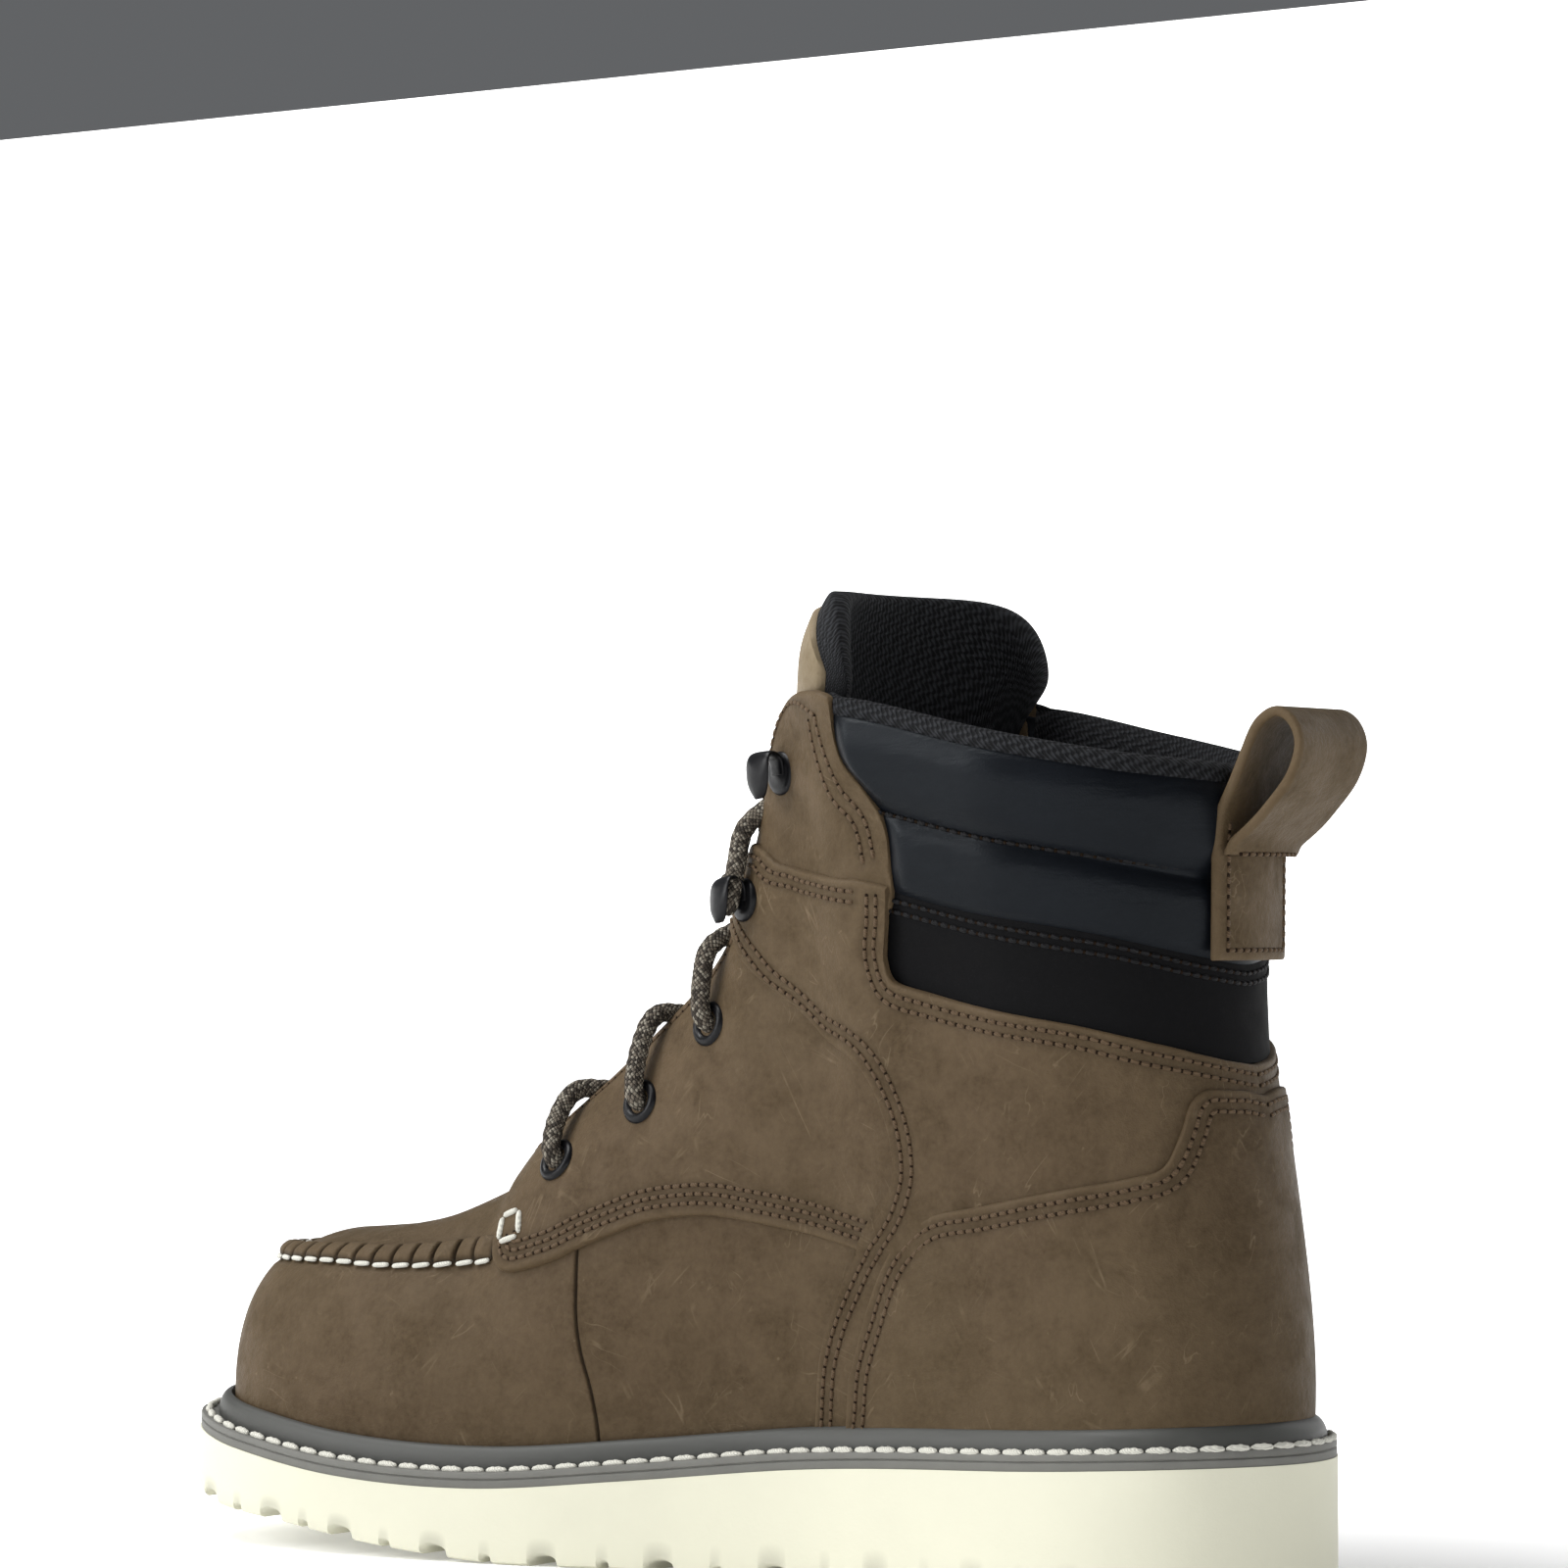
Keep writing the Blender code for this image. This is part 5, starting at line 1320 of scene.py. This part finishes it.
def lace_strand(side):
    """Centre line of one strand: up through an eyelet, over the edge and across to the next."""
    stops = EYELETS + [HOOKS[0]]
    points = []

    def add(girth, up, lift, turn):
        points.append(raised(side_girth(girth, turn), up, lift))

    first, up = stops[0]
    if side < 0:
        add(first, 0.93, -0.0065, -side)
    add(first, up + 0.02, -0.0060, side)
    for number, (girth, up) in enumerate(stops[:-1]):
        turn = side if number % 2 == 0 else -side
        if number:
            add(girth - 0.05, up + 0.07, -0.0052, turn)
            add(girth, up + 0.02, -0.0045, turn)
        add(girth, up, -0.0010, turn)
        add(girth + 0.01, up + 0.012, 0.0040, turn)
        add(girth + 0.07, up + 0.5 * (1 - up), 0.0058, turn)
        add(girth + 0.16, 0.985, 0.0050, turn)
        following = stops[number + 1][0]
        middle = (girth + following) / 2
        points.append(tongue_face(middle - 0.12, 0.30 * turn, -LACE_RADIUS - 0.0016))
        points.append(tongue_face(middle + 0.05, -0.25 * turn, -LACE_RADIUS - 0.0012))
        if number < len(stops) - 2:
            add(following - 0.14, 1.0, -0.0035, -turn)
    last = side if (len(stops) - 1) % 2 == 0 else -side
    girth, up = stops[-1]
    add(girth - 0.22, 0.985, 0.0054, last)
    add(girth - 0.18, up + 0.038, 0.0066, last)
    add(girth - 0.03, up - 0.006, 0.0072, last)
    add(girth + 0.13, up + 0.036, 0.0066, last)
    add(girth + 0.22, 0.985, 0.0052, last)
    add(girth + 0.36, 1.0, -0.0010, last)
    add(girth + 0.52, 0.985, -0.0060, last)
    return np.array(points)


def cord_tube(path, radius, around=18):
    """Round tube along a smooth path, with its frame carried along and its braid as uv."""
    place_at = np.linspace(0, len(path) - 1, (len(path) - 1) * 14 + 1)
    line = smooth(np.column_stack([np.arange(len(path)), path]), place_at)
    line, way, _ = even(line, 0.0009)
    side = np.cross(way[0], (0.0, 0.0, 1.0))
    sides = []
    for along in way:
        side = side - along * np.dot(side, along)
        side /= np.linalg.norm(side)
        sides.append(side)
    sides = np.array(sides)
    others = np.cross(way, sides)
    turn = np.linspace(0, 2 * np.pi, around, endpoint=False)
    rows = len(line)
    length = run_of(line)
    weave = 1 + 0.035 * np.cos(4 * turn[None, :] + length[:, None] * 1950) \
        + 0.035 * np.cos(4 * turn[None, :] - length[:, None] * 1950)
    taper = np.ones(rows)
    taper[0] = taper[-1] = 0.3
    taper[1] = taper[-2] = 0.8
    size = radius * weave * taper[:, None]
    points = line[:, None, :] + size[..., None] * (np.cos(turn)[None, :, None] * sides[:, None, :]
                                                  + np.sin(turn)[None, :, None] * others[:, None, :])
    u = np.arange(around + 1) / around
    corner = np.stack(np.broadcast_arrays(u[None, :], length[:, None]), -1)
    quads = np.stack([corner[:-1, :-1], corner[:-1, 1:], corner[1:, 1:], corner[1:, :-1]], 2)
    loops = np.concatenate([quads.reshape(-1, 2), np.zeros((2 * around, 2))])
    return points, tube_faces(rows, around), loops


def build_laces(finish):
    """Two strands of round braid that cross over the tongue, through the eyelets."""
    for side, name in ((-1, "lace_strand_one"), (1, "lace_strand_two")):
        points, faces, loops = cord_tube(lace_strand(side), LACE_RADIUS)
        piece = add_piece(name, points, faces, finish, "laces", ["laces"])
        layer = piece.data.uv_layers.new(name="UVMap")
        layer.data.foreach_set("uv", loops.ravel())


def heel_share(girth):
    """How much wider the welt's bead stands out, from nothing in front to WELT_BEAD_HEEL behind."""
    return WELT_BEAD_HEEL * smooth([(0, 0), (8, 0), (10, 1), (15, 1)], row_of(girth), clamp=True)


def build_welt(strip_finish, bead_finish, thread):
    """Flat strip with a stitched ledge, and a rounded bead against the leather."""
    girth = np.linspace(0, 2 * HEEL, 720, endpoint=False)
    x, y, out_x, out_y = plan(girth)

    def at_height(height):
        up = np.full_like(girth, 0.05)
        for _ in range(14):
            error = seat(x) + height - skin(girth, up)[:, 2]
            up = np.clip(up + error / (0.6 * BOOT_HEIGHT), 0, 0.3)
        return up

    def standing(distance, height):
        out = x + out_x * distance
        return np.stack([out, y + out_y * distance, seat(out) + height], -1) + SHIFT

    edge = SOLE_MARGIN - 0.0002
    middle = 0.0021
    strip = [(0.0010, 0.0), (edge - 0.0001, 0.0), (edge, 0.0003), (edge, middle - 0.00035),
             (edge - 0.0004, middle), (edge, middle + 0.00035), (edge, WELT_STRIP - 0.0007),
             (edge - 0.0002, WELT_STRIP - 0.0002), (edge - 0.0007, WELT_STRIP),
             (edge - 0.0020, WELT_STRIP - 0.0002), (0.0030, WELT_STRIP - 0.0002),
             (0.0010, WELT_STRIP - 0.0002)]
    sections = np.stack([standing(distance, height) for distance, height in strip], 1)
    add_piece("welt_strip", sections, tube_faces(len(girth), len(strip), wrap=True), strip_finish, "welt",
              ["welt"], angle=40)

    out = WELT_BEAD_OUT + heel_share(girth)
    top = WELT_STRIP + WELT_BEAD
    leather = raised(girth, at_height(top - 0.0006), 0.0003)
    inside = raised(girth, at_height(WELT_STRIP - 0.0005), -0.0008)
    shares = np.linspace(0, 1, 15)
    lip = leather - (SHIFT + np.stack([x, y, seat(x)], -1))
    lean = lip[:, 0] * out_x + lip[:, 1] * out_y
    profile = [inside]
    for share in shares:
        bend = np.sin(share * np.pi / 2)
        climb = 1 - np.cos(share * np.pi / 2)
        distance = lean + 0.0006 + (out - lean - 0.0006) * np.clip(bend, 0, 1)**0.85
        height = lip[:, 2] + (WELT_STRIP - 0.0003 - lip[:, 2]) * climb**1.1
        spot = np.stack([x + out_x * distance, y + out_y * distance, seat(x) + height], -1) + SHIFT
        profile.append(spot)
    profile.append(standing(out - 0.0010, WELT_STRIP - 0.0012))
    sections = np.stack(profile, 1)
    add_piece("welt_bead", sections, tube_faces(len(girth), len(profile), wrap=True), bead_finish, "welt",
              ["welt"], angle=55)

    spread = np.linspace(0, 2 * HEEL, 2400)
    px, py, ox, oy = plan(spread)
    distance = (SOLE_MARGIN + WELT_BEAD_OUT + heel_share(spread)) / 2
    line_x = px + ox * distance
    line = np.stack([line_x, py + oy * distance, seat(line_x) + WELT_STRIP + 0.0002], -1) + SHIFT
    both = np.column_stack([line, ox, oy])
    centres, ways, _ = even(both, WELT_STITCH)
    template, faces = spindle(0.0057, 0.00095)
    skew = np.cross(ways[:, :3], np.array([0.0, 0.0, 1.0])) * 0.08
    direction = ways[:, :3] + skew
    direction /= np.linalg.norm(direction, axis=1, keepdims=True)
    tops = np.tile([0.0, 0.0, 1.0], (len(centres), 1))
    points, all_faces = scattered(template, faces, centres[:, :3], direction, tops)
    add_piece("welt_stitches", points, all_faces, thread, "laces")


def breadth(margin):
    """Ends of the sole's outline along x, and a function for its two edges between them."""
    thick = np.linspace(0, 2 * HEEL, 6001)
    x, y = sole_edge(thick, margin)
    nose, tail = np.argmin(x), np.argmax(x)
    inner = x[nose:tail + 1], y[nose:tail + 1]
    outer = (np.concatenate([x[tail:-1], x[:nose + 1]])[::-1],
             np.concatenate([y[tail:-1], y[:nose + 1]])[::-1])
    return x[nose], x[tail], lambda at: (np.interp(at, *inner), np.interp(at, *outer))


def build_outsole(finish):
    """Wedge sole as sections along its length: deep grooves across it, a thin one between two."""
    first, last, edges = breadth(SOLE_MARGIN)
    turn = np.linspace(0.012, np.pi - 0.012, 300)
    stations = (first + last) / 2 - np.cos(turn) * (last - first) / 2
    places = [(x, TREAD_GROOVE, TREAD_DEPTH) for x in GROOVES]
    places += [(x, TREAD_SIPE, 0.62 * TREAD_DEPTH) for x in SIPES]
    detail = [x + half * share for x, half, _ in places
              for share in (-1.0, -0.97, -0.9, -0.75, -0.5, -0.25, 0, 0.25, 0.5, 0.75, 0.9, 0.97, 1.0)]
    stations = np.unique(np.concatenate([stations, detail]))
    stations = stations[(stations > first) & (stations < last)]

    def cut(x):
        deepest = np.zeros_like(x)
        for centre, half, depth in places:
            inside = np.clip(1 - np.abs((x - centre) / half)**2.6, 0, 1)
            deepest = np.maximum(deepest, depth * np.sqrt(inside))
        return deepest

    near, far = edges(stations)
    top, bottom, notch = seat(stations), underside(stations), cut(stations)
    middle, half = (near + far) / 2, (far - near) / 2
    wall_low = bottom + notch + 0.0016
    ring = []
    for side in (-1, 1):
        column = []
        for drop in (0.0, 0.25, 0.5, 0.75, 0.93):
            z = top + (wall_low - top) * drop / 0.93
            column.append(np.stack([stations, middle + side * half, z], -1))
        for inset, climb in ((0.0003, 0.0007), (0.0010, 0.0002), (0.0018, 0.0)):
            width = np.maximum(half - inset, half * 0.5)
            column.append(np.stack([stations, middle + side * width, bottom + notch + climb], -1))
        for share in (0.75, 0.45, 0.15):
            column.append(np.stack([stations, middle + side * np.maximum(half - 0.0018, half * 0.5) * share,
                                    bottom + notch], -1))
        ring.append(column)
    order = ring[0] + ring[1][::-1]
    order.append(np.stack([stations, middle + half * 0.5, top], -1))
    order.append(np.stack([stations, middle - half * 0.5, top], -1))
    sections = np.stack(order, 1) + SHIFT
    # Painted shade in the tread grooves, on the underside and the lowest band of the wall.
    shade = np.broadcast_to((notch / TREAD_DEPTH * 0.35)[:, None], sections.shape[:2]).copy()
    shade[:, :4] = 0
    shade[:, 18:] = 0
    add_piece("wedge_outsole", sections, tube_faces(*sections.shape[:2]), finish, "outsole", ["outsole"],
              marks={"shade": shade}, angle=35)


def build_insole(finish):
    """Cupped inner sole that fills the boot's floor."""
    first, last, edges = breadth(-(WALL + 2 * GAP))
    turn = np.linspace(0.02, np.pi - 0.02, 160)
    stations = (first + last) / 2 - np.cos(turn) * (last - first) / 2
    near, far = edges(stations)
    share = np.linspace(0, 1, 41)
    y = near[:, None] * (1 - share) + far[:, None] * share
    dish = 0.001 * (1 - (2 * share - 1)**2)
    low = seat(stations)[:, None] + GAP + 0 * y
    high = low + 0.004 - dish
    x = stations[:, None] + 0 * y
    upper, lower = np.stack([x, y, high], -1) + SHIFT, np.stack([x, y, low], -1) + SHIFT
    uv = np.stack([x, y], -1).reshape(-1, 2)
    add_sheet("footbed", upper, lower, finish, "insole", ["insole"], uv=uv, angle=50)


def build_bar_tack(thread):
    """Square of white thread at the facing's front tip, on each side."""
    parts = []
    template, faces = capsule(0.0036, 0.0008)
    for side in (-1, 1):
        corners = np.array([(5.75, 0.642), (5.99, 0.642), (6.02, 0.555), (5.76, 0.555), (5.75, 0.642)])
        for a, b in zip(corners[:-1], corners[1:]):
            start, end = side_girth(a[0], side), side_girth(b[0], side)
            middle = (start + end) / 2, (a[1] + b[1]) / 2
            way = skin(end, b[1]) - skin(start, a[1])
            size = np.linalg.norm(way)
            shape = template * np.array([size / 0.0036 * 0.86, 1, 1])
            centre = raised(middle[0], middle[1], FACING_LEATHER + 0.0001)
            parts.append(scattered(shape, faces, centre[None], (way / size)[None],
                                   outward(middle[0], middle[1])[None]))
    add_piece("bar_tacks", *join_meshes(parts), thread, "laces")


def build_upper(nubuck, brown_thread, hole_shades, white_thread):
    """Vamp, panels and their seams."""
    build_vamp(nubuck)
    build_moc_bead(nubuck)
    build_moc_thread(white_thread)
    scallop = curve_through(SCALLOP[:-1], PATH_SPACING)
    front = curve_through(QUARTER_FRONT, PATH_SPACING)
    throat = curve_through([(5.68, 0.995), (6.5, 0.995), (7.5, 0.995), (8.5, 0.995)], PATH_SPACING)
    first = COUNTER[0]
    shares = np.array([0.02, 0.35, 0.68])[:, None]
    rising = first[:2] * (1 - shares) + first[2:] * shares
    counter_edge = curve_through(np.concatenate([rising, COUNTER[:, 2:]]), PATH_SPACING)

    facing_rows = [row[row[:, 0] < 10.7] for row in rows_beside(scallop, 0.0030, 0.0052, 0.0074)]
    facing_rows += rows_beside(throat, -0.0022)
    for side, name in ((-1, "facing_medial"), (1, "facing_lateral")):
        panel(name + "_leather", turn_side(FACING, side), 0.0, FACING_LEATHER, nubuck, [name],
              troughs=sunk([turn_side(row, side) for row in facing_rows], 0.00035))
    stitch_pieces("facing_stitches", on_both_sides(*facing_rows), brown_thread, hole_shades,
                  FACING_LEATHER - 0.00015)

    stay_rows = [curve_through(points, PATH_SPACING) for points in (
        [(9.15, 0.992), (9.8, 0.99), (10.45, 0.985), (10.72, 0.975)],
        [(10.72, 0.975), (10.80, 0.93), (10.93, 0.885), (11.12, 0.85), (11.16, 0.80)],
        [(10.62, 0.965), (10.69, 0.92), (10.83, 0.87), (11.02, 0.84), (11.06, 0.79)])]
    for side, name in ((-1, "eyestay_top_medial"), (1, "eyestay_top_lateral")):
        panel(name, turn_side(EYESTAY_TOP, side), 0.0002, FACING_LEATHER, nubuck,
              troughs=sunk([turn_side(row, side) for row in stay_rows], 0.0003))
    stitch_pieces("eyestay_stitches", on_both_sides(*stay_rows), brown_thread, hole_shades,
                  FACING_LEATHER + 0.00005)

    seam_top = curve_through([(9.06, 0.985), (9.42, 0.885), (9.85, 0.79), (10.38, 0.762),
                              (10.78, 0.765), (10.98, 0.768)], PATH_SPACING)
    window = curve_through([(11.245, 0.757), (11.21, 0.72), (11.16, 0.682), (11.20, 0.652),
                            (11.50, 0.645), (11.95, 0.642), (12.66, 0.640), (13.3, 0.627),
                            (14.2, 0.611), (15.0, 0.60)], PATH_SPACING)
    rows = on_both_sides(*rows_beside(front, 0.0024, 0.0050), *rows_beside(seam_top, -0.0024, -0.0048),
                         *rows_beside(window, -0.0026, -0.0052))
    panel("quarter_leather", QUARTER, quarter_base, QUARTER_LEATHER, nubuck, ["quarter"],
          troughs=sunk(rows, 0.00035), both=True)
    stitch_pieces("quarter_stitches", rows, brown_thread, hole_shades,
                  lambda path: quarter_base(path[:, 0], path[:, 1]) + QUARTER_LEATHER - 0.00015)

    rows = on_both_sides(*rows_beside(counter_edge, -0.0026, -0.0052))
    panel("counter_leather", COUNTER, QUARTER_LEATHER, COUNTER_LEATHER, nubuck, ["counter"],
          troughs=sunk(rows, 0.0003), both=True)
    stitch_pieces("counter_stitches", rows, brown_thread, hole_shades,
                  QUARTER_LEATHER + COUNTER_LEATHER - 0.00015)
    build_bar_tack(white_thread)


def main():
    """All finishes and pieces of the boot."""
    build_studio()
    nubuck = oiled_nubuck("oiled nubuck", (0.060, 0.0385, 0.0195), (0.100, 0.069, 0.0380),
                          (0.027, 0.0175, 0.0092), (0.23, 0.175, 0.11))
    tan = oiled_nubuck("tan nubuck", (0.150, 0.112, 0.068), (0.205, 0.160, 0.103), (0.085, 0.062, 0.036),
                       (0.36, 0.29, 0.20))
    black = smooth_leather("black collar leather", (0.0045, 0.0055, 0.0075), 0.36)
    matte = plain_finish("matte black band", (0.0045, 0.0045, 0.0050), 0.8, 0.3, 200, 0.0002,
                         fine=1800, shine=0.08)
    mesh_cloth = knit("black spacer mesh", (0.024, 0.025, 0.028), 0.0021, 0.0006)
    footbed = knit("footbed cloth", (0.020, 0.020, 0.021), 0.0016, 0.0002)
    cream = plain_finish("cream rubber", (0.655, 0.645, 0.520), 0.6, 0.05, 30, 0.00012)
    strip = plain_finish("grey welt rubber", (0.158, 0.157, 0.144), 0.6, 0.12, 120, 0.00012, shine=0.2)
    bead = plain_finish("dark welt rubber", (0.066, 0.067, 0.062), 0.5, 0.15, 90, 0.0001, shine=0.25)
    cord = braid("taupe braid", (0.050, 0.042, 0.034), (0.155, 0.132, 0.105), (0.27, 0.245, 0.20))
    brown_thread = twisted_thread("brown thread", (0.105, 0.068, 0.038))
    black_thread = twisted_thread("black thread", (0.007, 0.007, 0.008))
    white_thread = twisted_thread("white thread", (0.66, 0.65, 0.58))
    # Colour of the needle-hole discs: painted shade.
    hole_shades = plain_finish("needle holes", (0.016, 0.010, 0.006), 0.9, shine=0.05)
    enamel = plain_finish("black enamel", (0.005, 0.005, 0.006), 0.34, 0.3, 400, 0.0001, shine=0.17)

    build_upper(nubuck, brown_thread, hole_shades, white_thread)
    build_collar(black, matte, mesh_cloth, black_thread, hole_shades)
    build_tongue(tan, mesh_cloth)
    build_pull_loop(nubuck, brown_thread, hole_shades)
    for side, word in ((-1, "medial"), (1, "lateral")):
        for number, (girth, up) in enumerate(EYELETS, 1):
            build_eyelet(f"ring_{word}_{number}", side_girth(girth, side), up, enamel,
                         f"eyelet_{word}_{number}")
        for number, (girth, up) in enumerate(HOOKS, 1):
            build_hook(f"speed_hook_{word}_{number}", side_girth(girth, side), up, enamel,
                       f"hook_{word}_{number}")
    build_laces(cord)
    build_welt(strip, bead, white_thread)
    build_outsole(cream)
    build_insole(footbed)


main()
